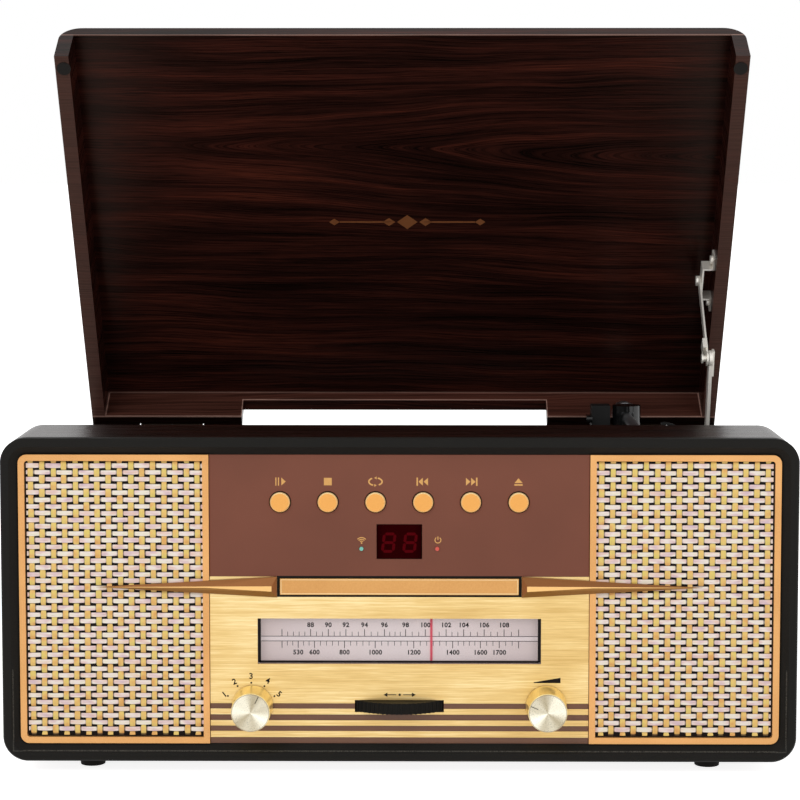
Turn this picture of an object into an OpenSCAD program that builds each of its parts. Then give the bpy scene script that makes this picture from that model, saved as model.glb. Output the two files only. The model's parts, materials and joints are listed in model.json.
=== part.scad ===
// Stereo music centre: a wooden console with radio, disc drawer and record player under a hinged lid.
// Millimetres, +Z up, +Y to the back. Heights count from the surface that the feet stand on.
// The origin is under the middle of the whole object with its lid open.

/* [Cabinet] */
// Width of the wooden wrap
cab_w = 445; // [425:5:470]
// Height of the closed cabinet above its feet
cab_h = 182.5; // [178:0.5:200]
// Depth from the front frame's face to the back
cab_d = 370.4; // [362:0.2:400]
// Thickness of the wooden walls
wall = 9.2; // [8:0.2:10]
// Outer corner radius of the wrap, seen from the front
corner_r = 14; // [12:1:20]
// Depth of the fixed strip on top, with the front frame
strip_d = 66.8; // [60:0.2:72]
// Height of the feet
foot_h = 8; // [5:0.5:15]
// Diameter of a foot where it meets the cabinet
foot_d = 16; // [12:1:22]
// Distance of the feet from the sides
foot_side = 46.7; // [30:0.1:60]
// Distance of the feet from the front and the back
foot_end = 27; // [20:1:50]

/* [Front frame] */
// Depth of the black front frame
frame_t = 7; // [6.4:0.2:9]
// Width of the frame's flat band
band_w = 4.8; // [4:0.2:5]
// Softened outer edge of the frame
edge_round = 0.9; // [0.4:0.1:1.4]
// Depth from the frame's face to the control panel
recess = 4.4; // [3.4:0.2:4.8]
// Thickness of the baffle board behind the frame
baffle_t = 9; // [8:0.5:9.5]
// Gap around parts that drop into a frame
fit_gap = 0.3; // [0.1:0.05:0.5]

/* [Grilles] */
// Half width of the control panel between the grilles
panel_half = 106.2; // [105:0.1:107]
// Width of a grille bezel's bar
bezel_w = 3.5; // [2.5:0.1:4.5]
// How far a bezel stands proud of the control panel
bezel_proud = 1; // [0.4:0.1:1.5]
// Thickness of the woven grille
cloth_t = 1; // [0.6:0.1:1.2]
// Diameter of the opening for a speaker
speaker_hole_d = 84; // [70:1:90]
// Depth of a speaker behind the baffle
speaker_depth = 44; // [34:1:48]

/* [Controls] */
// Height of the border between the brown and the gold fascia
split_z = 112.3; // [111.8:0.1:113.5]
// Thickness of the gold fascia
gold_t = 0.8; // [0.5:0.1:1]
// Diameter of a push button's cap
button_d = 11.2; // [9:0.1:12]
// Diameter of a push button's hole
button_hole_d = 12.4; // [12.4:0.1:14]
// Spacing of the push buttons
button_pitch = 26.65; // [24:0.05:28]
// Height of the push buttons
button_z = 154.4; // [152:0.1:158]
// How far a push button stands out
button_proud = 2; // [1.6:0.1:3]
// Travel of a push button
button_travel = 1.2; // [0.8:0.1:1.4]
// Width of the display window
display_w = 24.9; // [20:0.1:28]
// Height of the display window
display_h = 19; // [14:0.1:20]
// Height of the middle of the display window
display_z = 132.1; // [130:0.1:134]
// Diameter of an indicator light
led_d = 2.2; // [2:0.1:4]
// Distance of the lights from the middle
led_x = 21.2; // [19:0.1:26]
// Diameter of a knob at its face
knob_face_d = 21.6; // [18:0.2:24]
// Diameter of a knob at its base
knob_base_d = 23.2; // [20:0.2:26]
// Length of a knob
knob_l = 17.4; // [14:0.2:20]
// Distance of a knob from the middle
knob_x = 82.5; // [80:0.1:84]
// Height of the knobs' axis
knob_z = 39; // [36:0.5:42]
// Diameter of a knob's shaft
shaft_d = 6; // [5:0.5:6]

/* [Tuner] */
// Width of the dial lens
dial_w = 158.4; // [150:0.2:162]
// Height of the dial lens
dial_h = 25.2; // [22:0.2:26]
// Height of the middle of the dial lens
dial_z = 75.6; // [74:0.2:76]
// Where the pointer rests, from the middle
pointer_x = 18; // [0:1:40]
// Radius of the tuning thumbwheel
wheel_r = 39; // [36:1:42]
// Thickness of the tuning thumbwheel
wheel_t = 6.2; // [5:0.1:7]
// How far the thumbwheel reaches out of the fascia
wheel_proud = 8; // [6:0.5:9]
// Height of the thumbwheel's underside
wheel_z = 35.6; // [33:0.1:37]
// Number of ribs around the thumbwheel
wheel_ribs = 90; // [60:2:110]
// Radius of the thumbwheel's cord drum
drum_r = 20; // [16:1:22]
// Teeth of the pinion on the thumbwheel
pinion_teeth = 12; // [10:1:14]
// Teeth of the gear on the tuning capacitor
gear_teeth = 26; // [22:1:30]
// Pitch diameter of a gear per tooth
gear_module = 1; // [0.9:0.05:1.1]

/* [Disc player] */
// Width of the drawer's door
door_w = 133.6; // [131:0.2:135]
// Height of the drawer's door
door_h = 9.1; // [8.8:0.1:9.6]
// Height of the middle of the drawer's door
door_z = 106.7; // [106:0.1:106.8]
// Width of the disc tray
tray_w = 130; // [126:0.5:130.5]
// Length of the disc tray
tray_l = 185; // [180:1:190]
// Thickness of the disc tray
tray_t = 5; // [4:0.2:5.4]
// Diameter of the tray's recess for a disc
disc_d = 121; // [120.5:0.5:123]
// Distance of the disc's middle from the tray's front edge
disc_y = 66; // [64:1:70]
// Diameter of the disc hub
hub_d = 30; // [24:1:32]

/* [Record player] */
// Depth of the deck's top below the lid seam
deck_drop = 4; // [3:0.5:8]
// Thickness of the deck plate
deck_t = 3; // [2.5:0.25:4]
// Where the platter's middle lies across the cabinet
platter_x = -6.4; // [-10:0.2:0]
// Distance of the platter's middle from the cabinet's back
platter_back = 138.4; // [134:0.2:141]
// Diameter of the platter
platter_d = 196; // [180:2:200]
// Thickness of the platter
platter_t = 5; // [4:0.5:6]
// Thickness of the slip mat
mat_t = 2.5; // [1.5:0.25:3]
// Diameter of the spindle above the mat, for a record's hole
spindle_d = 7.2; // [7.1:0.05:7.3]
// Diameter of the spindle's shaft in the platter and the bearing
shaft_lower_d = 9; // [8:0.25:10]
// How far the spindle stands above the mat
spindle_rise = 10; // [8:0.5:12]
// Radius of the platter's drive ring under its rim
ring_r = 84; // [78:1:85]
// Radius of the motor pulley
pulley_r = 3; // [2.5:0.25:4]
// Thickness of the drive belt
belt_t = 0.6; // [0.4:0.1:1]
// Where the tonearm pivots, across the cabinet
arm_x = 156; // [152:1:160]
// Distance of the tonearm's pivot from the cabinet's back
arm_back = 40.4; // [36:0.2:46]
// Distance from the tonearm's pivot to the stylus
arm_l = 197; // [190:1:200]
// Diameter of the tonearm's tube
arm_d = 7; // [5:0.5:8]
// Height of the tonearm's axis above the lid seam
arm_rise = 12.3; // [11.5:0.1:13.5]
// Diameter of the tonearm's pivot housing
yoke_d = 19.6; // [18:0.2:22]
// Height of the pivot housing's top above the lid seam
yoke_rise = 20.5; // [19:0.5:23]

/* [Lid] */
// Height of the lid from its seam
lid_h = 36.8; // [34:0.2:42]
// Angle of the open lid
lid_open = 57.9; // [50:0.1:65]
// Thickness of the lid's top panel
lid_panel_t = 9; // [7:0.5:10]
// Gap between the lid's edge and the fixed strip
lid_gap = 0.5; // [0.3:0.1:1]
// Gap between the lid's rim and the cabinet's edge
seam_gap = 0.8; // [0.5:0.1:1.5]
// Width of the notch in the lid's back wall
notch_w = 218.2; // [200:0.2:230]
// Height of the notch
notch_h = 19.3; // [15:0.1:22]
// Diameter of a lid bumper
bumper_d = 9; // [6:0.5:9]
// Radius of a hinge knuckle
knuckle_r = 2.6; // [2.2:0.1:3]
// Length of a hinge
hinge_l = 44; // [30:2:60]
// Distance of the hinges from the middle
hinge_x = 166; // [150:1:180]
// Distance along the lid from its hinge edge to the stay's pivot
stay_u = 120; // [112:1:126]
// Height of the stay's pivot above the lid's rim
stay_w = 12; // [10:0.5:14]
// Distance of the stay's foot in front of the hinge
stay_foot_y = 70; // [68:1:76]
// Depth of the stay's foot below the seam
stay_foot_drop = 45; // [42:1:48]
// Distance of the stay's knuckle in front of the hinge
stay_knee_y = 101; // [98:1:104]
// Height of the stay's knuckle above the seam
stay_knee_rise = 58.3; // [55:0.1:62]

/* [Hidden] */

$fn = 48;
eps = 0.01;

// Cabinet levels and inner faces
top_z = foot_h + cab_h;
seam_z = top_z - lid_h;
floor_z = foot_h + wall;
half_w = cab_w / 2;
inner_half = half_w - wall;
inner_top = top_z - wall;
inner_back = cab_d - wall;
front_inner = frame_t + baffle_t;
edge_z = seam_z - seam_gap;
deck_z = seam_z - deck_drop;
deck_bottom = deck_z - deck_t;

// Lid
lid_l = cab_d - strip_d - lid_gap;
leaf_t = 1.2;
hinge_y = cab_d + leaf_t / 2;
hinge_z = seam_z;

// The origin lies midway between the knobs' faces and the open lid's rear edge
knob_gap = 0.8;
knob_front = recess - knob_gap - knob_l;
lid_reach = hinge_y + lid_h * sin(lid_open);
origin_y = (knob_front + lid_reach) / 2;

// Front openings
panel_z0 = floor_z + fit_gap;
panel_z1 = inner_top - fit_gap;
bezel_in = panel_half + fit_gap;
bezel_out = inner_half - fit_gap;
grille_x = (bezel_in + bezel_out) / 2;
grille_h = panel_z1 - panel_z0;
grille_z = (panel_z0 + panel_z1) / 2;
bezel_face = recess - bezel_proud;
cloth_back = frame_t - 0.1;
cloth_face = cloth_back - cloth_t;
centre_cut = 98;
cut_margin = 7;
stripe_n = 4;
stripe_h = 3;
stripe_pitch = 6.45;
stripe_z = panel_z0 + stripe_h / 2 + 0.4;
stripe_depth = 0.3;
spear_h = 11.7;
spear_tip_x = 169.6;
spear_z = 106.5;
spear_rise = 4.2;
spear_edge = 1.2;
spear_slope = 2.8;
spear_flat = [-2, 1];
spear_ridge_x = 108;
spear_ridge_rise = 3.5;
spear_ridge_up = 0.7;
surround_gap = 1.3;
surround_w = door_w + 2 * surround_gap + 0.5;
surround_h = door_h + 2 * surround_gap - 0.1;
spear_root_x = surround_w / 2 + 0.2;

// Boards and switches behind the panel
board_y = 17;
board_t = 1.6;
board_half = 92;
board_z0 = split_z + 7;
board_z1 = inner_top - 11;
tact_h = 4.5;
cap_edge = 0.5;
collar_t = 1.2;
stem_d = 4;
boss_d = 7;
boss_x = 88;
switch_y = 14.8;
switch_d = 20;
switch_l = 12;
shaft_gap = 0.05;

// Tuner
axle_d = 4;
wheel_y = recess - wheel_proud + wheel_r;
drum_z0 = wheel_z + wheel_t;
drum_h = 7.4;
pinion_z0 = drum_z0 + drum_h;
pinion_h = 5;
cord_r = 0.4;
cord_slack = 0.05;
cord_y = wheel_y - drum_r - cord_r - cord_slack;
cord_low = drum_z0 + drum_h / 2;
post_r = 3;
cord_high = dial_z + dial_h / 2 + 1.6;
post_low_x = 58;
post_high_x = 86;
plate_y = 9;
carrier_y = 11;
carrier_back = 13.6;
pointer_gap = 0.3;
slot_gap = 0.35;
gear_y = wheel_y + gear_module * (pinion_teeth + gear_teeth) / 2 + 0.1;
gap_above_gear = 1.2;
capacitor_z = pinion_z0 + pinion_h + gap_above_gear;
capacitor_h = 12;
capacitor_w = 20;
socket_l = 7.2;
bracket_t = 1.6;
bracket_z0 = wheel_z - 4;
bracket_z1 = capacitor_z + capacitor_h;
bracket_back = wheel_y + wheel_r + 4;
bracket_half = 12;
bracket_front = 12;
bracket_post_d = 6;

// Disc player
tray_z = door_z - tray_t / 2 - 0.6;
tray_y = recess + 3.1;
tray_slot_w = hub_d + 6;
hub_y = tray_y + disc_y;
rail_in = tray_w / 2 - 2.2;
rail_out = rail_in + 9;
loader_z0 = tray_z - 10;
loader_z1 = tray_z + tray_t + 9;
loader_y0 = front_inner;
loader_y1 = tray_y + tray_l + 6;
loader_floor = 2;
ear_w = 34;
ear_t = 2;
ear_h = 12;
bridge_l = 24;
clamp_gap = 2;
hub_shaft_d = 3;
rail_block = 5;
rail_block_t = 3;
run_gap = 0.4;
sled_travel = 30;
sled_y = hub_y + hub_d / 2 + 5;
sled_l = 22;
sled_w = 30;
rail_d = 3;
rail_x = 11;
rail_z = loader_z0 + loader_floor + 3.4;

// Record player
platter_y = cab_d - platter_back;
arm_y = cab_d - arm_back;
well_r = platter_d / 2 - 1.5;
well_depth = 8;
well_z = deck_z - well_depth;
platter_lift = 1.5;
platter_z = deck_z + platter_lift;
ring_w = 1.6;
ring_z = well_z + 1.6;
motor_dir = 130;
pulley_c = ring_r + pulley_r + 4;
pulley_pos = [platter_x + pulley_c * cos(motor_dir), platter_y + pulley_c * sin(motor_dir)];
motor_d = 32;
motor_l = 20;
belt_gap = 0.05;
belt_z = ring_z + 0.6;
belt_h = platter_z - belt_z - 1;
bearing_d = 14;
bearing_drop = 22;
mat_top = platter_z + platter_t + mat_t;
spindle_top = mat_top + spindle_rise;
spindle_low = well_z - bearing_drop - 2;
arm_z = seam_z + arm_rise;
yoke_top = seam_z + yoke_rise;
arm_foot_t = 3;
arm_foot_w = 4;
yoke_z0 = deck_z + arm_foot_t + 0.3;
weight_d = 17;
weight_l = 12;
rest_back = 140;
rest_y = arm_y - rest_back;
rest_w = 16;
rest_t = 10;
rest_gap = 0.5;
rest_split = 0.2;
clip_x = arm_x + rest_w / 2 + 2;
clip_drop = 3;
clip_z = arm_z - clip_drop;
clip_pin_d = 2.4;
clip_post = 4;
clip_pin_l = 5.6;
clip_hub_d = 6;
clip_t = 1.6;
clip_w = 3;
clip_tab = 8;
clip_hook = [25, 95];
clip_r = norm([clip_x - arm_x, clip_drop]) + arm_d / 2 + rest_gap;
head_w = 15;
head_l = 30;
head_h = 8;
head_turn = 22;
tower_w = 12.9;
tower_front = 6;
tower_back = 9;
post_d = 6;
post_l = 7;
lever_back = 2;
lever_socket = 8;
tower_x = arm_x - yoke_d / 2 - 2 - tower_w;

// Deck notch for the stay
stay_reach = 118;
stay_slack = 8;
stay_gap_y0 = hinge_y - stay_foot_y - stay_reach;
stay_gap_y1 = hinge_y - stay_foot_y + stay_slack;
deck_half = inner_half - fit_gap;
stay_edge = inner_half - 14;
cleat_w = 9;
cleat_l = 50;
cleat_h = 12;

// Stay, in a plane just inside the right wall: x of the arms' inner faces
arm_strip_t = 1.2;
lower_strip_t = 2.2;
upper_x = inner_half - 9.6;
lower_x = upper_x + arm_strip_t + 0.4;
strip_w = 7;
pin_d = 4;
pin_gap = 0.05;
pivot_open = [
    -stay_u * cos(lid_open) + stay_w * sin(lid_open),
    stay_u * sin(lid_open) + stay_w * cos(lid_open)
];
knee = [-stay_knee_y, stay_knee_rise];
foot = [-stay_foot_y, -stay_foot_drop];
upper_len = norm(knee - pivot_open);
lower_len = norm(knee - foot);
upper_dir = atan2(knee[1] - pivot_open[1], knee[0] - pivot_open[0]);
lower_dir = atan2(knee[1] - foot[1], knee[0] - foot[0]);

// Colours as the photograph shows them
wood = "#2e1512";
black = "#1c1b1a";
gold = "#e0a860";
brushed = "#d2ba74";
brown = "#7c4f40";
nickel = "#c8c8c4";
green = "#2f5d3a";

// Moves a part drawn from the front frame's face to the shared origin
module placed() {
    translate([0, -origin_y, 0]) children();
}

// Extrudes an outline drawn in X and Z from y0 to y1
module slab(y0, y1) {
    translate([0, y1, 0]) rotate([90, 0, 0]) linear_extrude(height = y1 - y0) children();
}

// Block between two corners
module block(a, b) {
    translate(a) cube(b - a);
}

// Rectangle with round corners, centred on x = 0, from z0 to z1
module round_rect(w, z0, z1, r) {
    h = z1 - z0;
    translate([-w / 2 + r, z0]) square([w - 2 * r, h]);
    translate([-w / 2, z0 + r]) square([w, h - 2 * r]);
    for (sx = [-1, 1], z = [z0 + r, z1 - r]) translate([sx * (w / 2 - r), z]) circle(r);
}

// Cylinder along Y from y0 to y1
module rod_y(x, z, d, y0, y1) {
    translate([x, y1, z]) rotate([90, 0, 0]) cylinder(d = d, h = y1 - y0);
}

// Cylinder along X from x0 to x1
module rod_x(y, z, d, x0, x1) {
    translate([x0, y, z]) rotate([0, 90, 0]) cylinder(d = d, h = x1 - x0);
}

// Inside outline of the wooden wrap, drawn in by a gap
module inner_outline(gap) {
    round_rect(2 * (inner_half - gap), floor_z + gap, inner_top - gap, max(1, corner_r - wall - gap));
}

module cabinet_shell() {
    color(wood) placed() difference() {
        slab(frame_t, cab_d) round_rect(cab_w, foot_h, top_z, corner_r);
        slab(frame_t - 1, cab_d + 1) inner_outline(0);
        block([-half_w - 1, strip_d, edge_z], [half_w + 1, cab_d + 1, top_z + 1]);
    }
}

// Opening of the front frame, let out by its bevel
module frame_opening(grow) {
    round_rect(2 * (inner_half + grow), floor_z - grow, inner_top + grow, bezel_r + fit_gap + grow);
}

module front_frame() {
    inset = wall - band_w;
    color(black) placed() difference() {
        union() {
            slab(edge_round, frame_t) round_rect(cab_w, foot_h, top_z, corner_r);
            hull() {
                slab(0, eps) round_rect(cab_w - 2 * edge_round, foot_h + edge_round, top_z - edge_round,
                    corner_r - edge_round, $fn = 48);
                slab(edge_round, edge_round + eps) round_rect(cab_w, foot_h, top_z, corner_r, $fn = 48);
            }
        }
        slab(recess - eps, frame_t + 1) frame_opening(0);
        hull() {
            slab(-eps, 0) frame_opening(inset, $fn = 32);
            slab(recess - eps, recess) frame_opening(0, $fn = 32);
        }
    }
}

module baffle_board() {
    color("#6b4b33") placed() difference() {
        slab(frame_t, front_inner) inner_outline(fit_gap / 2);
        slab(frame_t - 1, front_inner + 1) translate([-centre_cut, panel_z0 + cut_margin])
            square([2 * centre_cut, grille_h - 2 * cut_margin]);
        for (sx = [-1, 1]) rod_y(sx * grille_x, grille_z, speaker_hole_d, frame_t - 1, front_inner + 1);
    }
}

// The board that closes the strip's back edge, and four cleats on the side walls that carry the deck
module inner_boards() {
    color(wood) placed() {
        intersection() {
            slab(strip_d - wall, strip_d) inner_outline(0);
            block([-half_w, 0, deck_z], [half_w, cab_d, top_z]);
        }
        for (sx = [0, 1], y = [strip_d, inner_back - cleat_l]) mirror([sx, 0, 0])
            block([inner_half - cleat_w, y, deck_bottom - cleat_h], [inner_half, y + cleat_l, deck_bottom]);
    }
}

vent_n = 9;
vent_pitch = 9;
vent_x = 60;
vent_z = 60;
vent_h = 4;
socket_x = -120;
socket_z = 70;
socket_pitch = 18;
socket_d = 10;
phono_d = 8.3;
phono_l = 9;
jack_d = 3.6;
inlet_x = 150;
inlet_z = 52;
inlet_w = 24;
inlet_h = 15;

module back_panel() {
    color(black) placed() difference() {
        intersection() {
            slab(inner_back, cab_d) inner_outline(fit_gap / 2);
            block([-half_w, 0, 0], [half_w, cab_d + 1, edge_z]);
        }
        for (i = [0 : vent_n - 1])
            block([-vent_x, inner_back - 1, vent_z + i * vent_pitch - vent_h / 2],
                [vent_x, cab_d + 1, vent_z + i * vent_pitch + vent_h / 2]);
        for (i = [0 : 2]) rod_y(socket_x - i * socket_pitch, socket_z, socket_d, inner_back - 1, cab_d + 1);
        block([inlet_x - inlet_w / 2, inner_back - 1, inlet_z - inlet_h / 2],
            [inlet_x + inlet_w / 2, cab_d + 1, inlet_z + inlet_h / 2]);
        for (sx = [-1, 1]) hinge_groove(sx);
        for (p = back_screws()) rod_y(p[0], p[1], screw_d, inner_back - 1, cab_d + 1);
    }
}

screw_d = 3.4;
screw_head_d = 7;
screw_inset = 6;
function back_screws() = [
    for (x = [-inner_half + screw_inset, -inner_half / 2, inner_half / 2, inner_half - screw_inset])
        [x, floor_z + screw_inset],
    for (x = [-inner_half + screw_inset, inner_half - screw_inset]) [x, (floor_z + edge_z) / 2]
];
function deck_screws() = [
    for (sx = [-1, 1], y = [strip_d + 16, inner_back - 16])
        [sx * (inner_half - cleat_w / 2), y]
];

// Shouldered screw in the right wall on which the stay's lower arm turns
module stay_screw() {
    y = hinge_y - stay_foot_y;
    z = hinge_z - stay_foot_drop;
    rod_x(y, z, pin_d, lower_x - 1, inner_half);
    rod_x(y, z, pin_d + 3, lower_x - 2.2, lower_x - 0.2);
    rod_x(y, z, pin_d + 4, lower_x + lower_strip_t + 1.8, inner_half);
}

// Wood screws in the back panel and the deck plate, and the stay's pivot screw
module cabinet_screws() {
    color(nickel) placed() {
        for (p = back_screws()) {
            rod_y(p[0], p[1], screw_d - 0.2, inner_back, cab_d);
            rod_y(p[0], p[1], screw_head_d, cab_d, cab_d + 1.8);
        }
        stay_screw();
        for (p = deck_screws()) {
            translate([p[0], p[1], deck_bottom]) cylinder(d = screw_d - 0.2, h = deck_t);
            translate([p[0], p[1], deck_z]) cylinder(d = screw_head_d, h = 1.8);
        }
    }
}

// Groove for the hinge knuckles along the hinge axis
module hinge_groove(sx) {
    rod_x(hinge_y, hinge_z, 2 * knuckle_r + 1.2, sx * hinge_x - hinge_l / 2 - 1, sx * hinge_x + hinge_l / 2 + 1);
}

module feet() {
    color(black) placed() for (sx = [-1, 1], y = [foot_end, cab_d - foot_end])
        translate([sx * (half_w - foot_side), y, 0]) cylinder(d1 = foot_d - 2, d2 = foot_d, h = foot_h);
}

// Outline of one grille, round at the outer corners and square beside the control panel
module grille_outline(inset, r) {
    z0 = panel_z0 + inset;
    z1 = panel_z1 - inset;
    x0 = bezel_in + inset;
    x1 = bezel_out - inset;
    translate([x0, z0]) square([x1 - x0 - r, z1 - z0]);
    translate([x0, z0 + r]) square([x1 - x0, z1 - z0 - 2 * r]);
    for (z = [z0 + r, z1 - r]) translate([x1 - r, z]) circle(r);
}

bezel_r = 4.8;
bezel_inner_r = 1.7;

module grille_bezels() {
    color(gold) placed() for (sx = [0, 1]) mirror([sx, 0, 0]) difference() {
        slab(bezel_face, cloth_face) grille_outline(0, bezel_r);
        slab(bezel_face - 1, cloth_face + 1) grille_outline(bezel_w, bezel_inner_r);
    }
}

module grille_cloths() {
    color("#e6d0a8") placed() for (sx = [0, 1]) mirror([sx, 0, 0])
        slab(cloth_face, cloth_back) grille_outline(0.6, bezel_r - 0.6);
}

speaker_frame_d = speaker_hole_d + 12;
magnet_d = 56;
magnet_l = 16;

// Each speaker: a frame ring on the baffle, a cone-shaped basket and a magnet
module speakers() {
    basket = speaker_depth - magnet_l;
    color("#202225") placed() for (sx = [-1, 1])
        translate([sx * grille_x, front_inner, grille_z]) rotate([-90, 0, 0]) {
            difference() {
                union() {
                    cylinder(d = speaker_frame_d, h = 3);
                    cylinder(d1 = speaker_hole_d + 4, d2 = magnet_d - 6, h = basket);
                    translate([0, 0, basket]) cylinder(d = magnet_d, h = magnet_l);
                }
                translate([0, 0, -eps]) cylinder(d1 = speaker_hole_d - 4, d2 = 24, h = basket - 6);
            }
        }
}

// Window cut through the panel
module window(x0, x1, z0, z1) {
    block([x0, 0, z0], [x1, front_inner, z1]);
}

module button_holes(d) {
    for (i = [-2.5 : 2.5]) rod_y(i * button_pitch, button_z, d, 0, front_inner);
}

// Half width of the thumbwheel's chord at a depth behind the fascia's face, with its gap
function slot_half(depth) = sqrt(pow(wheel_r, 2) - pow(wheel_r - wheel_proud - depth, 2)) + slot_gap;

// Openings that the control panel and the gold fascia share; the wheel's slot widens with the depth
module panel_openings(depth) {
    half = slot_half(depth);
    window(-surround_w / 2, surround_w / 2, door_z - surround_h / 2, door_z + surround_h / 2);
    window(-dial_w / 2 - fit_gap, dial_w / 2 + fit_gap, dial_z - dial_h / 2 - fit_gap,
        dial_z + dial_h / 2 + fit_gap);
    window(-half, half, wheel_z - slot_gap, wheel_z + wheel_t + slot_gap);
    for (sx = [-1, 1]) rod_y(sx * knob_x, knob_z, shaft_d + 1, 0, front_inner);
}

module control_panel() {
    color(brown) placed() difference() {
        union() {
            slab(recess + gold_t, frame_t) translate([-panel_half, panel_z0])
                square([2 * panel_half, grille_h]);
            slab(recess, frame_t) translate([-panel_half, split_z + 0.1])
                square([2 * panel_half, panel_z1 - split_z - 0.1]);
            for (sx = [-1, 1], z = [board_z0 + 6, board_z1 - 6]) rod_y(sx * boss_x, z, boss_d, frame_t, board_y);
            for (sx = [-1, 1]) rod_y(sx * boss_x, dial_z, boss_d, frame_t, carrier_y);
        }
        panel_openings(frame_t - recess);
        button_holes(button_hole_d);
        window(-display_w / 2 - fit_gap, display_w / 2 + fit_gap, display_z - display_h / 2 - fit_gap,
            display_z + display_h / 2 + fit_gap);
        for (sx = [-1, 1]) rod_y(sx * led_x, display_z - 4, led_d + 0.2, 0, front_inner);
    }
}

module gold_fascia() {
    color(brushed) placed() difference() {
        slab(recess, recess + gold_t) translate([-panel_half, panel_z0])
            square([2 * panel_half, split_z - panel_z0]);
        panel_openings(gold_t);
        for (i = [0 : stripe_n - 1])
            block([-panel_half - 1, recess - 1, stripe_z + i * stripe_pitch - stripe_h / 2],
                [panel_half + 1, recess + stripe_depth, stripe_z + i * stripe_pitch + stripe_h / 2]);
    }
}

// A long dart, wide at the drawer, that runs to a point over the grille; its flat ridge narrows to a line
module spear_trims() {
    color(brown) placed() for (sx = [0, 1]) mirror([sx, 0, 0]) {
        difference() {
            hull() {
                block([spear_root_x, recess - spear_edge, spear_z - spear_h / 2],
                    [spear_root_x + eps, recess - eps, spear_z + spear_h / 2]);
                block([spear_root_x + spear_slope, recess - spear_rise, spear_z + spear_flat[0]],
                    [spear_root_x + spear_slope + eps, recess - eps, spear_z + spear_flat[1]]);
                block([spear_ridge_x, recess - spear_ridge_rise, spear_z],
                    [spear_ridge_x + eps, recess - eps, spear_z + spear_ridge_up]);
                block([spear_tip_x, bezel_face - 0.8, spear_z - eps], [spear_tip_x + eps, recess - eps, spear_z]);
            }
            block([panel_half - 0.3, bezel_face, spear_z - spear_h], [half_w, frame_t, spear_z + spear_h]);
        }
    }
}

module display_window() {
    color("#20100e") placed() difference() {
        block([-display_w / 2, recess - 0.4, display_z - display_h / 2],
            [display_w / 2, frame_t, display_z + display_h / 2]);
        block([-display_w / 2 + 1.4, recess + 1, display_z - display_h / 2 + 1.4],
            [display_w / 2 - 1.4, frame_t + 1, display_z + display_h / 2 - 1.4]);
    }
}

module status_lights() {
    color("#40c8e0") placed() for (sx = [-1, 1]) {
        rod_y(sx * led_x, display_z - 4, led_d, recess - 0.8, board_y);
    }
}

// Board with a tact switch behind each button and the two-digit light display
module control_board() {
    color(green) placed() {
        difference() {
            block([-board_half, board_y, board_z0], [board_half, board_y + board_t, board_z1]);
            for (sx = [-1, 1], z = [board_z0 + 6, board_z1 - 6]) rod_y(sx * boss_x, z, 2.4, 0, cab_d);
        }
        for (i = [-2.5 : 2.5])
            block([i * button_pitch - 3, board_y - tact_h, button_z - 3],
                [i * button_pitch + 3, board_y, button_z + 3]);
        block([-display_w / 2 + 2, frame_t + 0.4, display_z - display_h / 2 + 2],
            [display_w / 2 - 2, board_y, display_z + display_h / 2 - 2]);
    }
}

// Push button: a domed cap on a stem, with a collar behind the panel
module push_button(i) {
    stem_back = board_y - tact_h - button_travel - fit_gap;
    cap_z = recess - button_proud;
    color(gold) placed() translate([i * button_pitch, 0, button_z]) rotate([-90, 0, 0]) {
        translate([0, 0, cap_z]) cylinder(d1 = button_d - 2 * cap_edge, d2 = button_d, h = cap_edge);
        translate([0, 0, cap_z + cap_edge]) cylinder(d = button_d, h = frame_t + fit_gap + eps - cap_z - cap_edge);
        translate([0, 0, frame_t + fit_gap]) cylinder(d = button_hole_d + 1.4, h = collar_t);
        translate([0, 0, frame_t]) cylinder(d = stem_d, h = stem_back - frame_t);
    }
}

module play_button() {
    push_button(-2.5);
}

module stop_button() {
    push_button(-1.5);
}

module repeat_button() {
    push_button(-0.5);
}

module previous_button() {
    push_button(0.5);
}

module next_button() {
    push_button(1.5);
}

module eject_button() {
    push_button(2.5);
}

mark_w = 1.2;
function_angle = 26;
volume_angle = -67;

// Turned knob on its shaft, with a milled index line on the face at the given angle from up
module knob(sx, mark_angle) {
    color(gold) placed() translate([sx * knob_x, knob_front, knob_z]) rotate([-90, 0, 0]) {
        difference() {
            union() {
                cylinder(d1 = knob_face_d - 1.6, d2 = knob_face_d, h = 0.8);
                translate([0, 0, 0.8]) cylinder(d1 = knob_face_d, d2 = knob_base_d, h = knob_l - 0.8);
            }
            rotate([0, 0, mark_angle])
                block([-mark_w / 2, -knob_face_d / 2 + 1.4, -1], [mark_w / 2, -knob_face_d / 2 + 4.6, 0.4]);
        }
        translate([0, 0, knob_l]) cylinder(d = shaft_d, h = switch_y + switch_l - 2 - knob_l - knob_front);
    }
}

module function_knob() {
    knob(-1, function_angle);
}

module volume_knob() {
    knob(1, volume_angle);
}

// Body of a rotary control with a bushing against the back of the panel
module rotary_control(sx, body_d) {
    difference() {
        union() {
            rod_y(sx * knob_x, knob_z, body_d, switch_y, switch_y + switch_l);
            rod_y(sx * knob_x, knob_z, shaft_d + 3, frame_t, switch_y + 1);
        }
        rod_y(sx * knob_x, knob_z, shaft_d + 2 * shaft_gap, frame_t - 1, switch_y + switch_l - 1.5);
    }
}

// The function switch and the volume control
module rotary_controls() {
    color("#8a8d90") placed() {
        rotary_control(-1, switch_d);
        rotary_control(1, switch_d - 2);
    }
}

module dial_lens() {
    color("#d8d4d6") placed()
        block([-dial_w / 2, recess + 0.2, dial_z - dial_h / 2], [dial_w / 2, recess + 2, dial_z + dial_h / 2]);
}

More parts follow.
